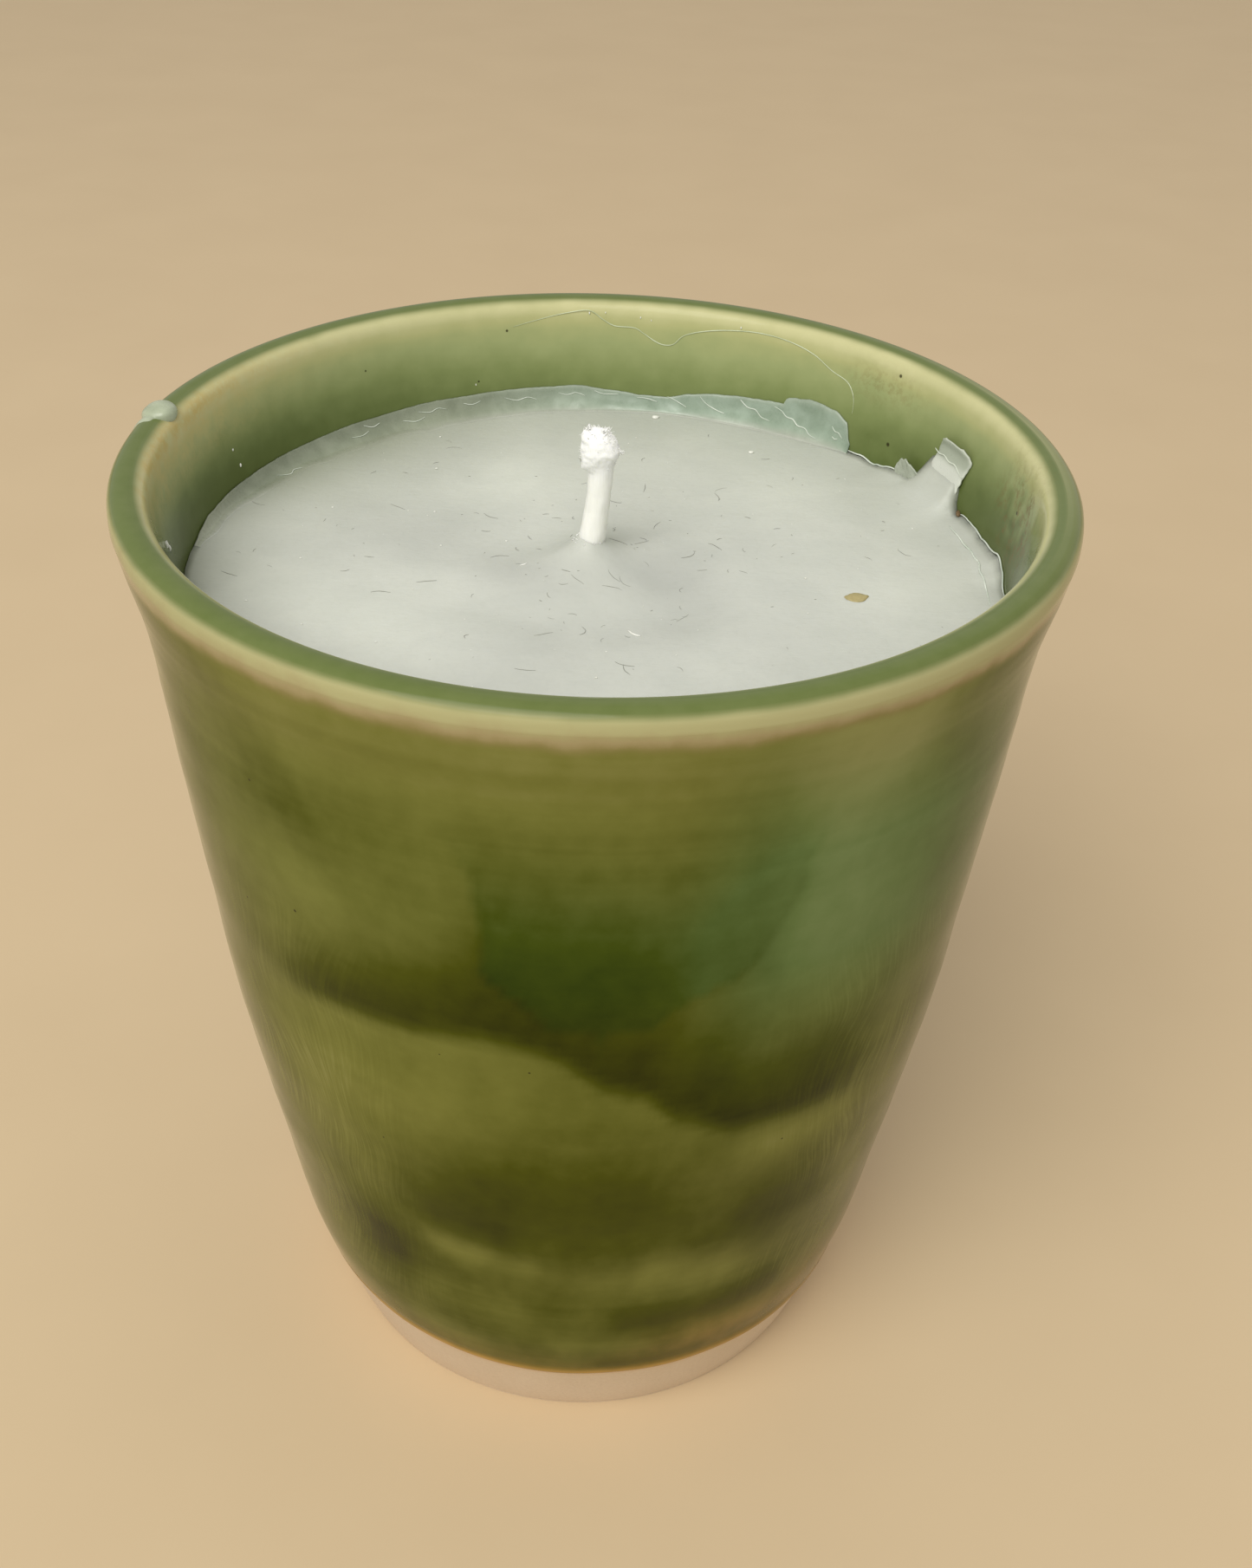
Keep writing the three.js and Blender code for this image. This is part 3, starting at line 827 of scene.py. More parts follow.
def tongue_ramp(angle, from_wall):
    """Height of the ramp of wax that flows up into the tongue on the wall."""
    sharp = 0.2 + 0.6 * from_wall
    soft = 0.4 + 1.5 * from_wall
    right = smoothstep(angle, 20.9 - sharp, 21.5 + sharp)
    left = smoothstep(angle, 32.5 + soft, 29.0 - soft)
    return (2.9 * math.exp(-from_wall / 1.1) + 0.9 * math.exp(-from_wall / 3.2)) * right * left


def wax_height(x, y):
    """Height of the wax surface: a cone on the wick, valleys round it and soft waves further out."""
    angle = degrees_from(math.degrees(math.atan2(y, x)), 0)
    from_wall = max(0.0, inside_radius(WAX_LEVEL) - math.hypot(x, y))
    place = Vector((x, y))
    from_wick = (place - WICK_EXIT).length
    cone = 2.3 * math.exp(-max(0.0, from_wick - 1.1) / 1.9) + 0.45 * hump(from_wick, 7)
    valleys = 0.55 * hump((place - Vector((-5.5, 5.5))).length, 4.5)
    valleys += 0.45 * hump((place - Vector((6.0, -1.5))).length, 4.5)
    valleys += 0.50 * hump(from_wick - 12.5, 4.0) * smoothstep(WICK_EXIT.y - y, 2, 11)
    waves = sum(size * rough((x, y, 0), scale, seed) for size, scale, seed in WAX_WAVES)
    creep = (level_at(WAX_EDGE, angle) - WAX_LEVEL) * math.exp(-from_wall / 1.1)
    broken = smoothstep(angle, -6, -2) * smoothstep(angle, 21, 18)
    lip = 0.16 * hump(from_wall - 1.6 - 0.5 * rough((angle, 0, 0), 3, 27), 0.35) * broken
    level = WAX_LEVEL + cone - valleys + waves * smoothstep(from_wall, 0, 5)
    return level + creep + lip + tongue_ramp(angle, from_wall)


# How much the wax darkens towards the wall, as (degrees, share): the dark wall showing through its thinning
# edge, and painted shade from the wall.
WAX_SHADE = [(-180, 0.45), (-150, 0.05), (0, 0.05), (35, 0.1), (60, 0.27), (90, 0.33)]
WAX_SHADE += [(103, 0.42), (115, 0.65), (130, 1.05), (150, 1.0), (163, 0.5), (172, 0.3), (180, 0.4)]
# Paler and greyer drifts in the wax, with painted light and shade on the slopes round the wick, as ((x, y),
# width, strength).
WAX_DRIFTS_AND_SLOPE_LIGHT = [
    ((-8, 20), 7, 0.42), ((18, 19), 7, 0.28), ((-19, -11), 9, 0.34), ((29, -2), 7, 0.32),
    ((-28, -7), 6, 0.30), ((-17, 6), 6, -0.32), ((-7, -1), 5, -0.40), ((7, 0), 6, -0.52),
    ((8, -10), 7, -0.20), ((-6, -17), 8, -0.12),
]


def wax_darkness(angle, from_wall):
    """How much the wax darkens at a place: the dark wall showing through thin wax, and painted shade in the
    corner by the wall and in the wall's shadow.
    """
    return clamp(0.28 * math.exp(-from_wall / 0.8) + level_at(WAX_SHADE, angle) * math.exp(-from_wall / 6))


def wax_drift_and_slope_light(x, y):
    """0 in the greyest wax, 1 in the palest: drifts in the wax, and painted light and shade on its slopes."""
    place = Vector((x, y))
    drift = 0.5 + 0.15 * rough((x, y, 0), 7, 28)
    for middle, width, strength in WAX_DRIFTS_AND_SLOPE_LIGHT:
        drift += strength * hump((place - Vector(middle)).length, width)
    return clamp(drift)


def add_wax():
    """The whole of the wax: its shaped surface, and below it the sides that the cup hides."""
    places, looks = [], []
    wall = inside_radius(WAX_LEVEL) - 0.05
    angles = [360 * column / WAX_COLUMNS for column in range(WAX_COLUMNS)]
    for ring in range(WAX_RINGS):
        radius = wall * (1 - ring / (WAX_RINGS - 1)) ** 1.6
        centre = WICK_EXIT * smoothstep(radius, wall, 4)
        for angle in angles:
            x, y = around(radius, angle).to_2d() + centre
            height = wax_height(x, y)
            if ring == 0:
                height += 0.10 * rough((angle, 0, 0), 2.1, 25) + 0.10 * rough((angle, 0, 0), 0.9, 26)
                growth = (inside_radius(height) - 0.06) / math.hypot(x, y)
                x, y = x * growth, y * growth
            places.append(Vector((x, y, height)) * MM)
            darkness = wax_darkness(degrees_from(angle, 0), wall - radius)
            looks.append({"thinness_and_shade": darkness, "drift": wax_drift_and_slope_light(x, y)})
    # The rings so far go inwards. Turned round, they go outwards, and the sides carry on downwards.
    for values in (places, looks, angles):
        values.reverse()
    below = [z for _, z in curve(INNER_WALL, 2) if z < WAX_LEVEL - 2][:-1]
    for height in below:
        places += [on_wall(angle, height, 0.1) * MM for angle in angles]
        looks += [{"thinness_and_shade": 0.0, "drift": 0.5}] * WAX_COLUMNS
    bottom = tuple(range(len(places) - WAX_COLUMNS, len(places)))
    shape = places, [*ring_faces(WAX_RINGS + len(below), WAX_COLUMNS), bottom]
    wax = add_piece("wax", shape, [wax_material()], "wax_fill")
    paint(wax, looks)


def wax_colours(nodes):
    """Faintly clouded pale grey-green wax."""
    cloud = nodes.noise(6, detail=4, distortion=0.5)
    fine = nodes.noise(0.7, detail=5, roughness=0.65)
    colour = nodes.blend(nodes.spread(cloud, 0.3, 0.7), (0.622, 0.642, 0.578), (0.66, 0.678, 0.61))
    colour = nodes.blend(nodes.spread(fine, 0.45, 0.8, 0.0, 0.22), colour, (0.53, 0.54, 0.48))
    return colour, fine


def wax_material():
    nodes = Nodes("wax")
    colour, fine = wax_colours(nodes)
    # The drift numbers hold painted light and shade on the wax's slopes as well as its drifts.
    drift = nodes.ramp("drift", [(0.0, (0.71, 0.71, 0.72)), (0.5, WAX_TINT)], (1.0, 1.0, 0.995))
    colour = nodes.blend(1.0, colour, drift, mode="MULTIPLY")
    # Darker by the wall: the wall showing through thin wax, and painted shade.
    colour = nodes.blend("thinness_and_shade", colour, THIN_AND_SHADED_WAX)
    dust = nodes.spots(1.3, 0.06, 0.3)
    colour = nodes.blend(nodes.times(dust, 0.5), colour, (0.20, 0.20, 0.165))
    flour = nodes.spots(1.9, 0.08, 0.3)
    colour = nodes.blend(nodes.times(flour, 0.7), colour, (0.80, 0.80, 0.74))
    wrinkles = nodes.noise(0.55, detail=3, stretch=(0.35, 1.0, 1.0), distortion=1.0)
    dents = nodes.noise(2.4, detail=2, stretch=(0.6, 1.0, 1.0))
    relief = nodes.math("MULTIPLY_ADD", wrinkles, 0.35, nodes.times(fine, 0.35))
    relief = nodes.math("MULTIPLY_ADD", dents, 0.8, relief)
    depth = {"Subsurface_Weight": 0.25, "Subsurface_Radius": (1.0, 0.95, 0.8), "Subsurface_Scale": 1.2 * MM}
    return nodes.finish(colour, fine, (0.40, 0.52), 0.09, 0.7, relief, IOR=1.44, **depth)


# ---- Wick ----

WICK_SIDES = 64
WICK_ROWS = 120
HEAD_BASE = 97.6
BRAID_PITCH = 3.4
# Fuller tufts on the head, as (place from the wick's middle, direction).
TUFTS = [
    ((-1.15, 0.0, WICK_TIP - 0.7), (-0.2, 0, 1)),
    ((0.25, -0.4, WICK_TIP - 0.7), (0.2, -0.1, 1)),
    ((1.45, -0.2, 99.6), (1.0, -0.2, 0.15)),
]
FUZZ_FIBRES = 170
TUFT_FIBRES = 16
FOOT_CRUMBS = 26


def wick_radius(angle, height):
    """Radius of the wick: a waxed braid with a frayed, flat-topped head that overhangs on the left."""
    turn = math.radians(angle)
    twist = math.pi * height / BRAID_PITCH
    crossing = abs(math.sin(2 * turn + twist))
    crossing = max(crossing, abs(math.sin(2 * turn - twist)))
    stem = WICK_RADIUS * (1.07 - 0.10 * smoothstep(height, 90.5, 94)) + 0.06 * (crossing - 0.8)
    left = max(0.0, -math.cos(turn)) ** 1.3
    head = smoothstep(height, HEAD_BASE - 0.2 - 0.3 * (1 - left), HEAD_BASE + 0.25 + 1.8 * (1 - left))
    place = around(1.6, angle, height)
    lumps = 0.09 * rough(place, 1.2, 31) + 0.12 * rough(place, 0.45, 32) + 0.05 * rough(place, 0.2, 33)
    bulge = 0.16 + 0.56 * left + 0.40 * hump(height - 99.7, 1.7) * (1 - left)
    reach = clamp((height - (WICK_TIP - 2.5)) / 2.1)
    crown = (1 - reach ** lerp(2.6, 9, 0.5 - 0.5 * math.cos(turn))) ** 0.5 * (1 - 0.16 * reach * (1 - left))
    return (stem + head * (bulge + lumps)) * crown


def add_wick():
    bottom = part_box("wick")[0][2] / MM
    above = [lerp(WAX_LEVEL, WICK_TIP - 0.42, i / WICK_ROWS) for i in range(WICK_ROWS + 1)]
    heights = [bottom, 20, 40, 60, 80, *above]
    places, looks = [], []
    for height in heights:
        centre = wick_centre(height).to_3d()
        for k in range(WICK_SIDES):
            angle = 360 * k / WICK_SIDES
            places.append((centre + around(wick_radius(angle, height), angle, height)) * MM)
            looks.append({"frayed": smoothstep(height, HEAD_BASE - 1.2, HEAD_BASE + 0.4)})
    shape = places, closed_faces(len(heights), WICK_SIDES)
    wick = add_piece("wick_braid", shape, [wick_material()], "wick")
    paint(wick, looks)


def random_vector(rng, reach):
    return Vector([rng.uniform(-reach, reach) for _ in range(3)])


def fibre(rng, start, out, length, thickness):
    """A tapering curled fibre of cotton, kept below the tip of the wick. Sizes are in millimetres."""
    curl = random_vector(rng, 1) * length * 0.4
    steps = 5
    route, radii = [], []
    for step in range(steps + 1):
        share = step / steps
        point = start + out.normalized() * length * share + curl * share**2
        point.z = min(point.z, WICK_TIP - 0.08)
        route.append(point * MM)
        radii.append(thickness * MM * (1 - 0.7 * share))
    return tube(route, radii, 5)


def fuzz_fibre(rng, near_top):
    """A short fibre anywhere on the head, or near its top."""
    angle = rng.uniform(0, 360)
    height = rng.uniform(HEAD_BASE + 0.3, WICK_TIP - 0.6)
    if near_top:
        height = WICK_TIP - rng.uniform(0.5, 0.9)
    out = around(1, angle, rng.uniform(0.0, 1.6))
    start = wick_centre(height).to_3d() + around(0.92 * wick_radius(angle, height), angle, height)
    return fibre(rng, start, out, rng.uniform(0.15, 0.45), rng.uniform(0.03, 0.06))


def tuft_fibre(rng, place, out):
    spread = random_vector(rng, 0.22)
    heading = Vector(out) + random_vector(rng, 0.3)
    start = wick_centre(place[2]).to_3d() + Vector(place) + spread
    return fibre(rng, start, heading, rng.uniform(0.35, 0.6), rng.uniform(0.10, 0.15))


def foot_crumb(rng):
    """A crumb of wax on the cone, close to the wick."""
    angle = rng.uniform(0, TURN)
    reach = WICK_RADIUS + rng.uniform(0.0, 0.35)
    size = rng.uniform(0.06, 0.16)
    x, y = WICK_EXIT + reach * Vector((math.cos(angle), math.sin(angle)))
    return blob(on_wax(x, y, 0.2 * size), (size, 0.8 * size, 0.6 * size), angle, lump=0.4, rows=6, columns=8)


def add_wick_fibres(rng):
    """Cotton that stands out of the trimmed head: short fuzz all over it, and a few fuller tufts."""
    parts = [fuzz_fibre(rng, i % 3 == 0) for i in range(FUZZ_FIBRES)]
    parts += [tuft_fibre(rng, place, out) for place, out in TUFTS for _ in range(TUFT_FIBRES)]
    parts += [foot_crumb(rng) for _ in range(FOOT_CRUMBS)]
    shape = join(parts)
    fibres = add_piece("wick_fibres", shape, [wick_material()])
    paint(fibres, [{"frayed": 1.0}] * len(shape[0]))


def wick_material():
    """White cotton: soaked in wax on the stem, dry and bright where it is frayed."""
    nodes = Nodes("cotton")
    fibre = nodes.noise(0.22, detail=4, stretch=(1.0, 1.0, 0.15))
    soaked = nodes.blend(fibre, (0.90, 0.90, 0.83), (0.98, 0.98, 0.92))
    dry = nodes.blend(fibre, (0.96, 0.96, 0.91), (1.0, 1.0, 0.97))
    colour = nodes.blend("frayed", soaked, dry)
    depth = {"Subsurface_Weight": 0.5, "Subsurface_Radius": (1.0, 1.0, 0.9), "Subsurface_Scale": 0.8 * MM}
    return nodes.finish(colour, "frayed", (0.45, 0.9), 0.08, 0.6, fibre, spread_over=(0, 1), **depth)


# ---- Thin wax on the wall and the lip ----

FILM_TOP = [
    (46.2, 89.4), (47.5, 91.6), (50, 92.4), (54, 92.7), (57, 92.45), (58.6, 92.3), (59.2, 91.5),
    (65, 91.3), (71, 91.0), (75, 90.6), (79, 89.95), (83, 89.95), (88, 90.3), (94, 90.75), (101, 90.6),
    (116, 90.3), (131, 89.9), (146, 89.6), (160, 89.4), (168, 89.1), (176, 88.4),
]
FILM_BEND = 1.7  # how much the film hangs back on the wax before it climbs the wall
# How far the film's foot reaches in over the wax, as (degrees, millimetres).
FILM_FOOT = [(46, 0.1), (60, 0.5), (80, 0.5), (100, 1.2), (120, 2.2), (150, 2.2), (168, 1.2), (176, 0.4)]
FILM_COLUMNS = 330
FILM_ROWS = 20
FILM_CRACKS = [
    [(49.9, 90.7), (49.2, 90.3), (48.4, 90.2), (47.6, 89.8)],
    [(49.5, 89.7), (48.9, 89.5), (48.4, 89.6)],
    [
        (60.8, 91.0), (59.2, 90.7), (58.2, 90.3), (57.0, 90.2),
        (56.0, 89.7), (54.6, 89.6), (53.6, 89.1), (52.2, 88.9),
    ],
    [(66.6, 90.9), (65.2, 90.3), (63.8, 90.2), (62.6, 89.6), (61.0, 89.4)],
    [(73.5, 90.5), (72.3, 89.9), (70.5, 89.4), (69.0, 89.2)],
    [(79.0, 90.0), (77.0, 89.6), (75.5, 89.2)],
    [(84.0, 89.7), (82.0, 89.6), (80.5, 89.4)],
    [(91.0, 90.2), (89.5, 89.9), (87.0, 89.9)],
    [(97.0, 90.0), (95.5, 89.8), (94.0, 90.0), (92.5, 89.7)],
    [(106.0, 89.8), (104.0, 89.5), (102.0, 89.7), (100.5, 89.4)],
    [(113.0, 89.7), (111.5, 89.5), (110.0, 89.7)],
    [(121.0, 89.6), (119.0, 89.4), (117.5, 89.6), (116.0, 89.4)],
    [(124.0, 89.1), (122.0, 88.9), (120.0, 89.1)],
    [(131.0, 89.5), (129.5, 89.2), (128.0, 89.4)],
    [(134.0, 88.9), (132.0, 88.8), (130.5, 89.0)],
    [(151.0, 88.6), (149.0, 88.3), (147.5, 88.4), (146.0, 88.2)],
]
TIDE_LINE = [
    (104, 97.3), (99, 98.1), (95, 98.7), (92, 98.9), (90, 98.0), (88, 97.3), (85, 97.2), (83.5, 96.7),
    (81.5, 95.9), (80, 95.6), (78.5, 95.8), (77, 96.8), (74, 97.5), (70, 98.0), (65, 98.3), (60, 98.1),
    (55.5, 97.4), (52, 96.3), (49, 95.7), (47.6, 94.8), (47, 93.8), (46.9, 92.6),
]


def thin_wax_material(name, colour_low, colour_high, alpha):
    """A translucent skin of wax that lets the glaze behind it show."""
    nodes = Nodes(name)
    cloud = nodes.noise(3.5, detail=4, distortion=0.5)
    colour = nodes.blend(nodes.spread(cloud, 0.3, 0.7), colour_low, colour_high)
    alpha = nodes.times(nodes.spread(cloud, 0.2, 0.8, 0.85, 1.0), alpha)
    return nodes.finish(colour, nodes.noise(0.5, detail=3), (0.2, 0.36), 0.03, IOR=1.44, Alpha=alpha)


def film_material():
    """Wax so thin that it takes its colour from the wall: grey on the left, blue-green on the right."""
    nodes = Nodes("film_wax")
    cloud = nodes.noise(2.8, detail=4, distortion=0.5)
    grey = nodes.blend(nodes.spread(cloud, 0.3, 0.7), (0.25, 0.28, 0.20), (0.295, 0.325, 0.24))
    teal = nodes.blend(nodes.spread(cloud, 0.3, 0.7), (0.30, 0.38, 0.29), (0.375, 0.46, 0.37))
    colour = nodes.blend("right", grey, teal)
    low = nodes.blend("right", (0.40, 0.425, 0.33), (0.45, 0.495, 0.41))
    colour = nodes.blend("low", colour, low)
    wax = nodes.blend(1.0, wax_colours(nodes)[0], WAX_TINT, mode="MULTIPLY")
    wax = nodes.blend("thinness_and_shade", wax, THIN_AND_SHADED_WAX)
    colour = nodes.blend("foot", colour, wax)
    colour = nodes.blend("pale_rim_and_highlight", colour, (0.50, 0.56, 0.45))
    alpha = nodes.times(nodes.spread(cloud, 0.2, 0.8, 0.86, 1.0), "cover")
    return nodes.finish(colour, nodes.noise(0.5, detail=3), (0.22, 0.38), 0.03, IOR=1.44, Alpha=alpha)


def film_place(angle, rise):
    """A place on the film, in millimetres. rise is 0 at its foot on the wax and 1 at its torn top."""
    torn = 0.05 * rough((angle, 0, 0), 1.3, 41) + 0.03 * rough((angle, 0, 0), 0.5, 43)
    top = level_at(FILM_TOP, angle) + torn
    height = lerp(WAX_LEVEL - 0.1, top, rise**FILM_BEND)
    ripple = 0.07 * rough((angle * 0.65, height * 2, 0), 1.6, 42)
    foot = level_at(FILM_FOOT, angle) * (1 + 0.3 * rough((angle, 0, 0), 5, 44))
    place = on_wall(angle, height, 0.34 + ripple - 0.14 * rise**3 + foot * (1 - rise) ** 1.4)
    sunk = 0.10 * smoothstep(rise, 0.0, 0.12) - 0.05
    place.z = max(place.z, wax_height(place.x, place.y) + sunk)
    return place


def add_film():
    right_end, left_end = FILM_TOP[0][0], FILM_TOP[-1][0]
    shape = sheet(FILM_COLUMNS, FILM_ROWS, lambda i, j: film_place(lerp(left_end, right_end, i), j), 0.12)
    film = add_piece("wax_film", shape, [film_material()], "wax_film_back")
    wall = inside_radius(WAX_LEVEL)
    looks = []
    for place, (_, rise) in zip(shape[0], sheet_shares(FILM_COLUMNS, FILM_ROWS)):
        angle = math.degrees(math.atan2(place.y, place.x))
        from_wall = max(0.0, wall - math.hypot(place.x, place.y) / MM)
        low = (0.1 + 0.6 * smoothstep(angle, 130, 100)) * smoothstep(rise, 0.6, 0.1)
        looks.append({
            "right": smoothstep(angle, 118, 78),
            "pale_rim_and_highlight": 0.5 * smoothstep(rise, 0.9, 1.0) * smoothstep(angle, 130, 90),
            "low": max(low, smoothstep(angle, 154, 172)),
            "foot": smoothstep(rise, 0.5, 0.1),
            "thinness_and_shade": wax_darkness(angle, from_wall),
            "cover": 1.0 - 0.26 * smoothstep(rise, 0.4, 0.95),
        })
    paint(film, looks)


def crack_ridge(crack):
    """A crack in the film, through (degrees, height) points."""
    route = []
    for angle, height in curve(crack, 6):
        share = clamp((height - WAX_LEVEL) / (level_at(FILM_TOP, angle) - WAX_LEVEL))
        place = film_place(angle, share ** (1 / FILM_BEND))
        inwards = Vector((-place.x, -place.y, place.z)).normalized()
        route.append(place + 0.05 * inwards)
    return ridge(route, lerp(0.045, 0.075, smoothstep(crack[0][0], 95, 60)))


def add_ridges():
    pale = thin_wax_material("crack_wax", (0.60, 0.67, 0.57), (0.82, 0.86, 0.78), 0.9)
    cracks = join([crack_ridge(crack) for crack in FILM_CRACKS])
    add_piece("film_cracks", cracks, [pale])
    faint = thin_wax_material("tide_wax", (0.56, 0.62, 0.38), (0.74, 0.80, 0.58), 0.8)
    add_piece("tide_line", wall_ridge(TIDE_LINE, 0.065, 0.05), [faint])
    add_piece("broken_edge", broken_edge(), [pale])


def broken_edge():
    """The bright torn edge of the wax on the right, on both sides of the tongue."""
    ridges = []
    for first, last in ((-6, 20.5), (34.5, 47)):
        count = round((last - first) * 1.6)
        angles = [lerp(first, last, i / count) for i in range(count + 1)]
        edge = [(a, level_at(WAX_EDGE, a) + 0.05 + 0.12 * rough((a, 0, 0), 1.1, 45)) for a in angles]
        ridges.append(wall_ridge(edge, 0.09, 0.12))
    steps = 40
    inner = []
    for i in range(steps + 1):
        angle = lerp(-7, 17.5, i / steps)
        place = on_wall(angle, WAX_LEVEL, 1.7 + 0.35 * rough((angle, 0, 0), 3, 27))
        inner.append(on_wax(place.x, place.y, 0.0))
    ridges.append(ridge(inner, 0.10))
    return join(ridges)


# The tongue of wax above the ramp, as (height, right edge, left edge) in millimetres and degrees.
TONGUE = [
    (88.9, 20.9, 30.4), (89.6, 21.2, 30.0), (90.3, 21.4, 29.6), (91.0, 21.2, 29.3), (91.8, 21.0, 28.9),
    (92.6, 20.6, 28.4), (93.4, 20.1, 28.1), (94.2, 19.8, 27.9), (94.8, 20.3, 27.5), (95.15, 21.9, 26.4),
]
TONGUE_CRACK = [(28.4, 93.5), (27.2, 93.25), (26, 93.35), (24.6, 93.05)]
TONGUE_CRACK += [(23, 93.15), (21.6, 92.7), (20.5, 92.5)]


def tongue_place(i, j):
    """A place on the tongue, in millimetres: i goes from its left edge to its right, j up it."""
    row = j * (len(TONGUE) - 1)
    k = min(int(row), len(TONGUE) - 2)
    height, right, left = (lerp(a, b, row - k) for a, b in zip(TONGUE[k], TONGUE[k + 1]))
    from_middle = abs(2 * i - 1)
    angle = lerp(left, right, i)
    angle += 0.3 * rough((angle * 2, height * 2, 0), 1.2, 51) * from_middle**4
    thick = lerp(0.62, 0.38, smoothstep(height, 91.0, 94.5)) - 0.22 * from_middle**6
    curl = 0.5 * smoothstep(height, 93.4, 95.2) ** 2
    return on_wall(angle, height + 0.10 * rough((angle, height, 0), 2, 52) * j, thick + curl)


def tongue_material():
    """The wax's own colour below, and thin wax above, with a painted highlight along its right and top edges.
    """
    nodes = Nodes("tongue_wax")
    colour, fine = wax_colours(nodes)
    colour = nodes.blend("thinness_and_shade", colour, (0.45, 0.49, 0.395))
    colour = nodes.blend("pale_rim_and_highlight", colour, (0.68, 0.71, 0.62))
    alpha = nodes.spread("thinness_and_shade", 0.0, 1.0, 1.0, 0.84)
    return nodes.finish(colour, fine, (0.25, 0.42), 0.04, IOR=1.44, Alpha=alpha)


def add_tongue():
    """The tongue of wax on the right of the wall: thick where it leaves the ramp, thin at its top."""
    columns, rows = 48, 48
    shape = sheet(columns, rows, tongue_place, 0.14)
    tongue = add_piece("wax_tongue", shape, [tongue_material()], "wax_flake_right")
    looks = []
    for place, (i, j) in zip(shape[0], sheet_shares(columns, rows)):
        # A painted highlight along the right and top edges.
        pale_rim_and_highlight = 0.8 * max(smoothstep(i, 0.93, 1.0), smoothstep(j, 0.95, 1.0))
        looks.append({"thinness_and_shade": smoothstep(place.z / MM, 92.4, 93.6), "pale_rim_and_highlight": pale_rim_and_highlight})
    paint(tongue, looks)
    pale = thin_wax_material("tongue_crack_wax", (0.60, 0.64, 0.54), (0.72, 0.76, 0.66), 0.95)
    add_piece("tongue_crack", wall_ridge(TONGUE_CRACK, 0.08, 0.55), [pale])
    thin = thin_wax_material("curl_wax", (0.42, 0.46, 0.37), (0.58, 0.62, 0.52), 0.82)
    add_piece("wax_curl", sheet(24, 12, curl_place, 0.16), [thin])


def curl_place(i, j):
    """A place on the small torn curl of thin wax at the left foot of the tongue, in millimetres."""
    angle = lerp(36.2, 29.2, i)
    top = 89.4 + 1.6 * math.sin(math.pi * clamp(i * 1.15)) ** 0.6 + 0.25 * rough((angle, 0, 0), 0.7, 57)
    height = lerp(88.6, top, j)
    lift = 0.9 * math.sin(math.pi * i) * j + 0.15 * rough((angle, height, 0), 0.9, 58)
    return on_wall(angle, height, 0.35 + lift)


def add_drip():
    """The bead of wax over the lip: a full part on top and a thin tail that hangs outside."""
    angle = 169.8
    outwards = Matrix.Rotation(math.radians(angle), 3, "Z")
    flat, droop = (outwards @ Matrix.Rotation(math.radians(fall), 3, "Y") for fall in (9, 48))
    parts = [
        blob(around(42.35, angle, 99.75), (1.75, 1.75, 1.15), 61, flat, 0.08, 20, 32),
        blob(around(43.36, angle + 2.4, 98.9), (1.48, 1.5, 0.78), 62, droop, 0.08, 20, 32),
    ]
    material = thin_wax_material("drip_wax", (0.37, 0.42, 0.29), (0.49, 0.54, 0.39), 0.9)
    drip = add_piece("wax_drip", join(parts), [material], "wax_drip_on_lip")
    remesh = drip.modifiers.new("one_skin", "REMESH")
    remesh.mode = "VOXEL"
    remesh.voxel_size = 0.12 * MM
    remesh.use_smooth_shade = True
    soften = drip.modifiers.new("soften", "SMOOTH")
    soften.iterations = 8


# ---- Dust, lint and flecks ----

LINT_HAIRS = 170
DUST_CRUMBS = 70
DUST_REACH = 36  # how far out from the middle the lint and the dust are scattered
# Crumbs of wax that lie on it, as (x, y, size), and on the wall, as (degrees, height, size).
FLAT_CRUMBS = [(6.2, 36.6, 0.42), (16.4, 28.2, 0.3), (-17, 22, 0.14)]
WALL_CRUMBS_AND_GLINTS = [
    (189, 93.0, 0.4), (187.5, 92.1, 0.28), (158, 92.9, 0.13), (157, 91.0, 0.2), (110.5, 91.4, 0.12),
    # These pale beads on the back of the lip are painted glints.
    (92, 98.6, 0.14), (89.5, 98.7, 0.10), (84, 98.3, 0.13), (82.3, 98.1, 0.10), (68, 98.5, 0.14),
]


def on_wax(x, y, lift):
    """A place on the wax, in millimetres, lifted by a distance."""
    return Vector((x, y, wax_height(x, y) + lift))


def hair(rng, x, y, length, heading, bend, radius):
    """A hair that lies on the wax and wanders as it goes."""
    route, radii = [], []
    steps = 8
    for step in range(steps):
        route.append(on_wax(x, y, radius * 0.6) * MM)
        radii.append(radius * MM * (0.45 + 0.55 * math.sin(math.pi * step / (steps - 1))))
        heading += bend / steps + rng.uniform(-0.25, 0.25)
        x += math.cos(heading) * length / steps
        y += math.sin(heading) * length / steps
    return tube(route, radii, 5)


def plain_material(name, dark, light, roughness, size=0.4):
    """A fine grain between two colours."""
    nodes = Nodes(name)
    grain = nodes.noise(size, detail=3)
    return nodes.finish(nodes.blend(grain, dark, light), grain, (roughness - 0.1, roughness), 0.02)


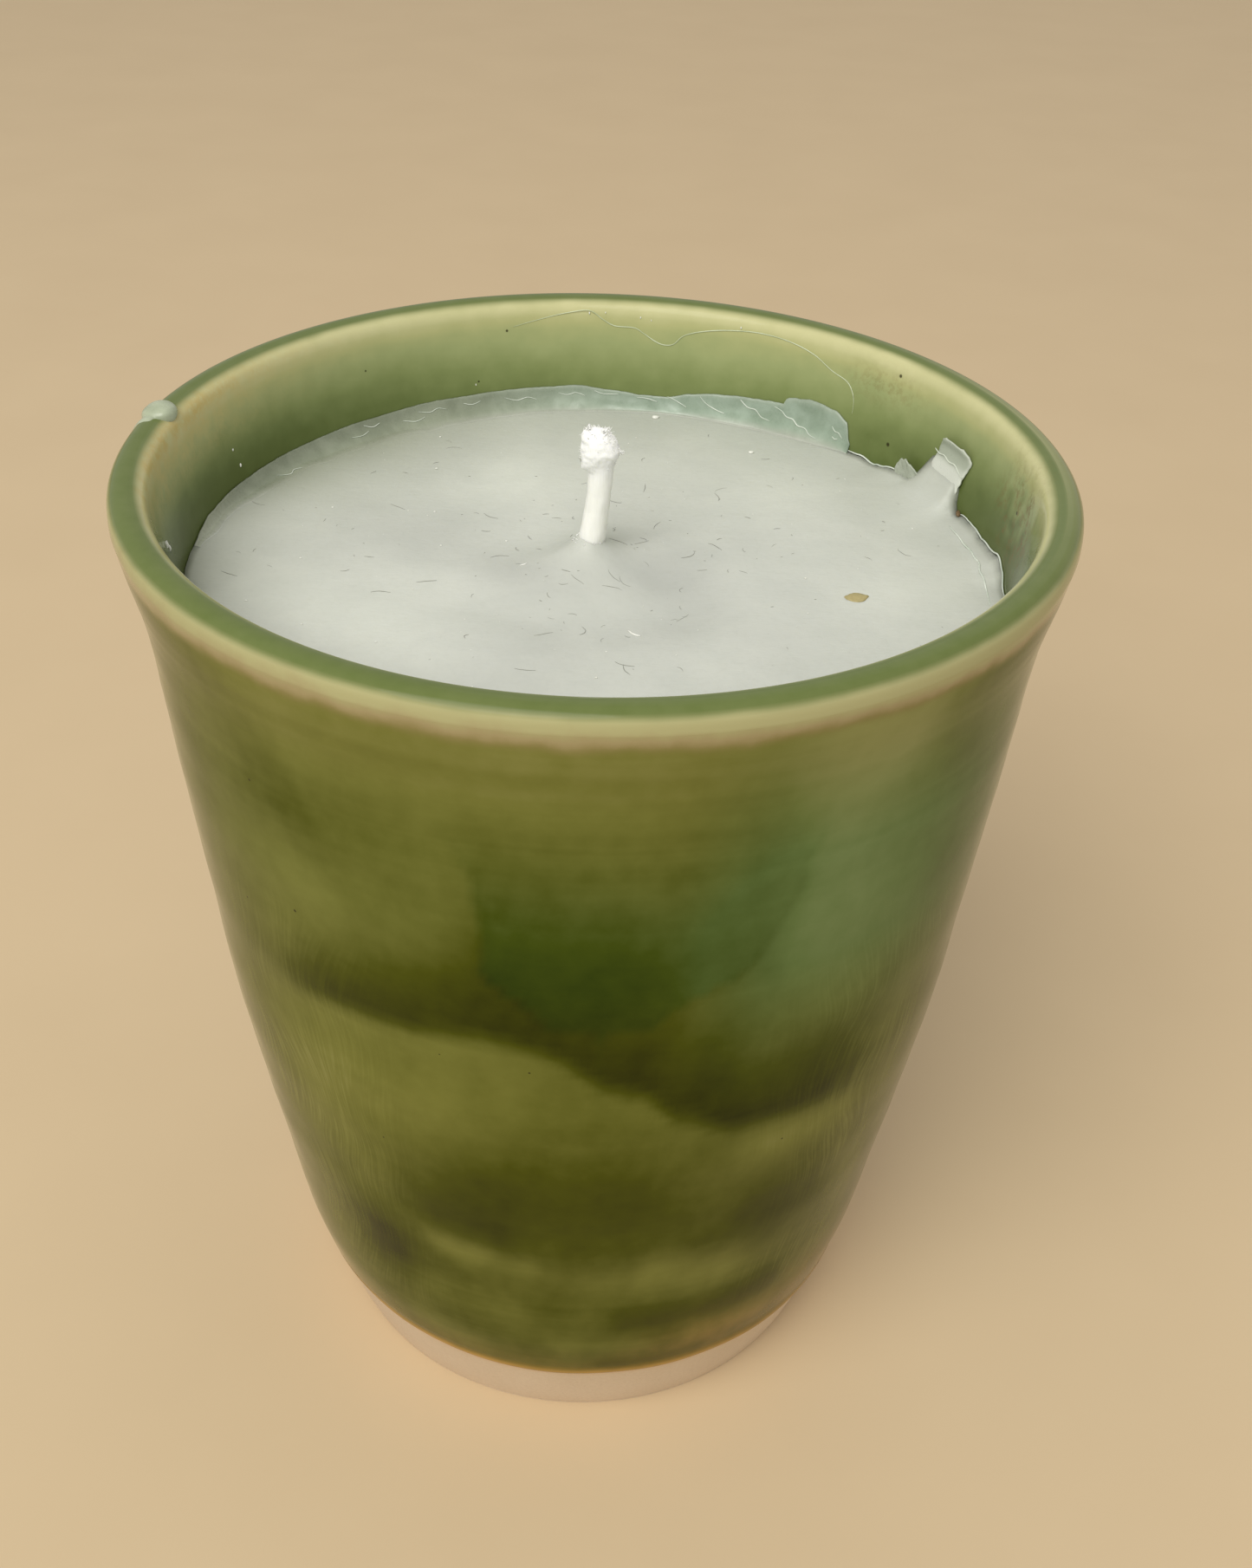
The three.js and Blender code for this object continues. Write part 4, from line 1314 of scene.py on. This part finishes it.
def add_lint(rng):
    """Grey lint, thickest round the wick, and two white threads."""
    hairs = []
    while len(hairs) < LINT_HAIRS:
        near = rng.random() < 0.4
        reach = rng.uniform(3.5, 16) if near else DUST_REACH * math.sqrt(rng.random())
        angle = rng.uniform(0, TURN)
        x, y = WICK_EXIT.x + reach * math.cos(angle), WICK_EXIT.y + reach * math.sin(angle)
        if math.hypot(x, y) > 35.5:
            continue
        length = rng.choice((0.25, 0.35, 0.5, 0.8, 1.1, 2.2))
        radius = rng.uniform(0.014, 0.030)
        hairs.append(hair(rng, x, y, length, rng.uniform(0, TURN), rng.uniform(-2.4, 2.4), radius))
    grey = plain_material("grey_lint", (0.17, 0.17, 0.14), (0.29, 0.29, 0.245), 0.8)
    add_piece("lint_on_wax", join(hairs), [grey])
    white = plain_material("white_lint", (0.80, 0.80, 0.74), (0.92, 0.92, 0.88), 0.8)
    threads = [hair(rng, 3.0, -10.3, 1.9, -1.0, 0.25, 0.09), hair(rng, -7.3, 0.4, 1.0, 0.6, 0.2, 0.06)]
    add_piece("white_thread", join(threads), [white])


def add_debris_on_wax(rng, crumb_wax):
    """Dust and crumbs of wax that lie on the wax, and a tan fleck."""
    crumbs = []
    for seed in range(DUST_CRUMBS):
        reach, angle = DUST_REACH * math.sqrt(rng.random()), rng.uniform(0, TURN)
        size = rng.choice((0.04, 0.06, 0.08, 0.12))
        spot = on_wax(reach * math.cos(angle), reach * math.sin(angle), size * 0.3)
        crumbs.append(blob(spot, (size, size * 0.8, size * 0.5), seed, rows=6, columns=8))
    for x, y, size in FLAT_CRUMBS:
        crumbs.append(blob(on_wax(x, y, 0.1), (size, size * 0.7, size * 0.5), 5))
    add_piece("wax_crumbs", join(crumbs), [crumb_wax])
    fleck = blob(on_wax(24.5, -3.7, 0.02), (1.15, 0.75, 0.14), 71, Matrix.Rotation(0.2, 3, "Z"), 0.35, 10, 20)
    tan = plain_material("tan_fleck", (0.30, 0.25, 0.10), (0.50, 0.42, 0.20), 0.6, 0.3)
    add_piece("tan_fleck", fleck, [tan])


def add_debris_on_wall(crumb_wax):
    """Crumbs of wax that stick to the wall, pale beads on the back of the lip that are painted glints, and a
    brown chip at the edge of the wax.
    """
    crumbs = []
    for seed, (angle, height, size) in enumerate(WALL_CRUMBS_AND_GLINTS, 80):
        crumbs.append(blob(on_wall(angle, height, 0.05), (size * 0.5, size * 0.6, size), seed, lump=0.4))
    add_piece("wall_crumbs_and_glints", join(crumbs), [crumb_wax])
    chip = blob(on_wall(19.4, 89.0, 0.35), (0.22, 0.4, 0.12), 90, Matrix.Rotation(0.5, 3, "X"), 0.5)
    brown = plain_material("brown_chip", (0.05, 0.03, 0.012), (0.22, 0.14, 0.06), 0.7, 0.3)
    add_piece("brown_chip", chip, [brown])


def add_debris(rng):
    add_lint(rng)
    crumb_wax = plain_material("crumb_wax", (0.70, 0.71, 0.64), (0.84, 0.84, 0.78), 0.55)
    add_debris_on_wax(rng, crumb_wax)
    add_debris_on_wall(crumb_wax)


# ---- The CAD pieces that keep their shape, hidden in the wax ----


def finish_hidden_nodes():
    tin = Nodes("tinplate")
    brushed = tin.noise(0.3, detail=3, stretch=(1.0, 0.08, 1.0))
    colour = tin.blend(brushed, (0.48, 0.49, 0.50), (0.62, 0.63, 0.64))
    tinplate = tin.finish(colour, brushed, (0.25, 0.42), 0.01, Metallic=1.0)
    foam = plain_material("sticker_foam", (0.62, 0.60, 0.52), (0.80, 0.78, 0.70), 0.8, 0.5)
    for node, material in (("wick_tab", tinplate), ("wick_sticker", foam)):
        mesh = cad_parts[node].data
        mesh.materials.clear()
        mesh.materials.append(material)


add_camera()
add_floor()
add_lights()
add_cup()
add_wax()
add_wick()
add_wick_fibres(random.Random(4))
add_film()
add_ridges()
add_tongue()
add_drip()
add_debris(random.Random(9))
finish_hidden_nodes()
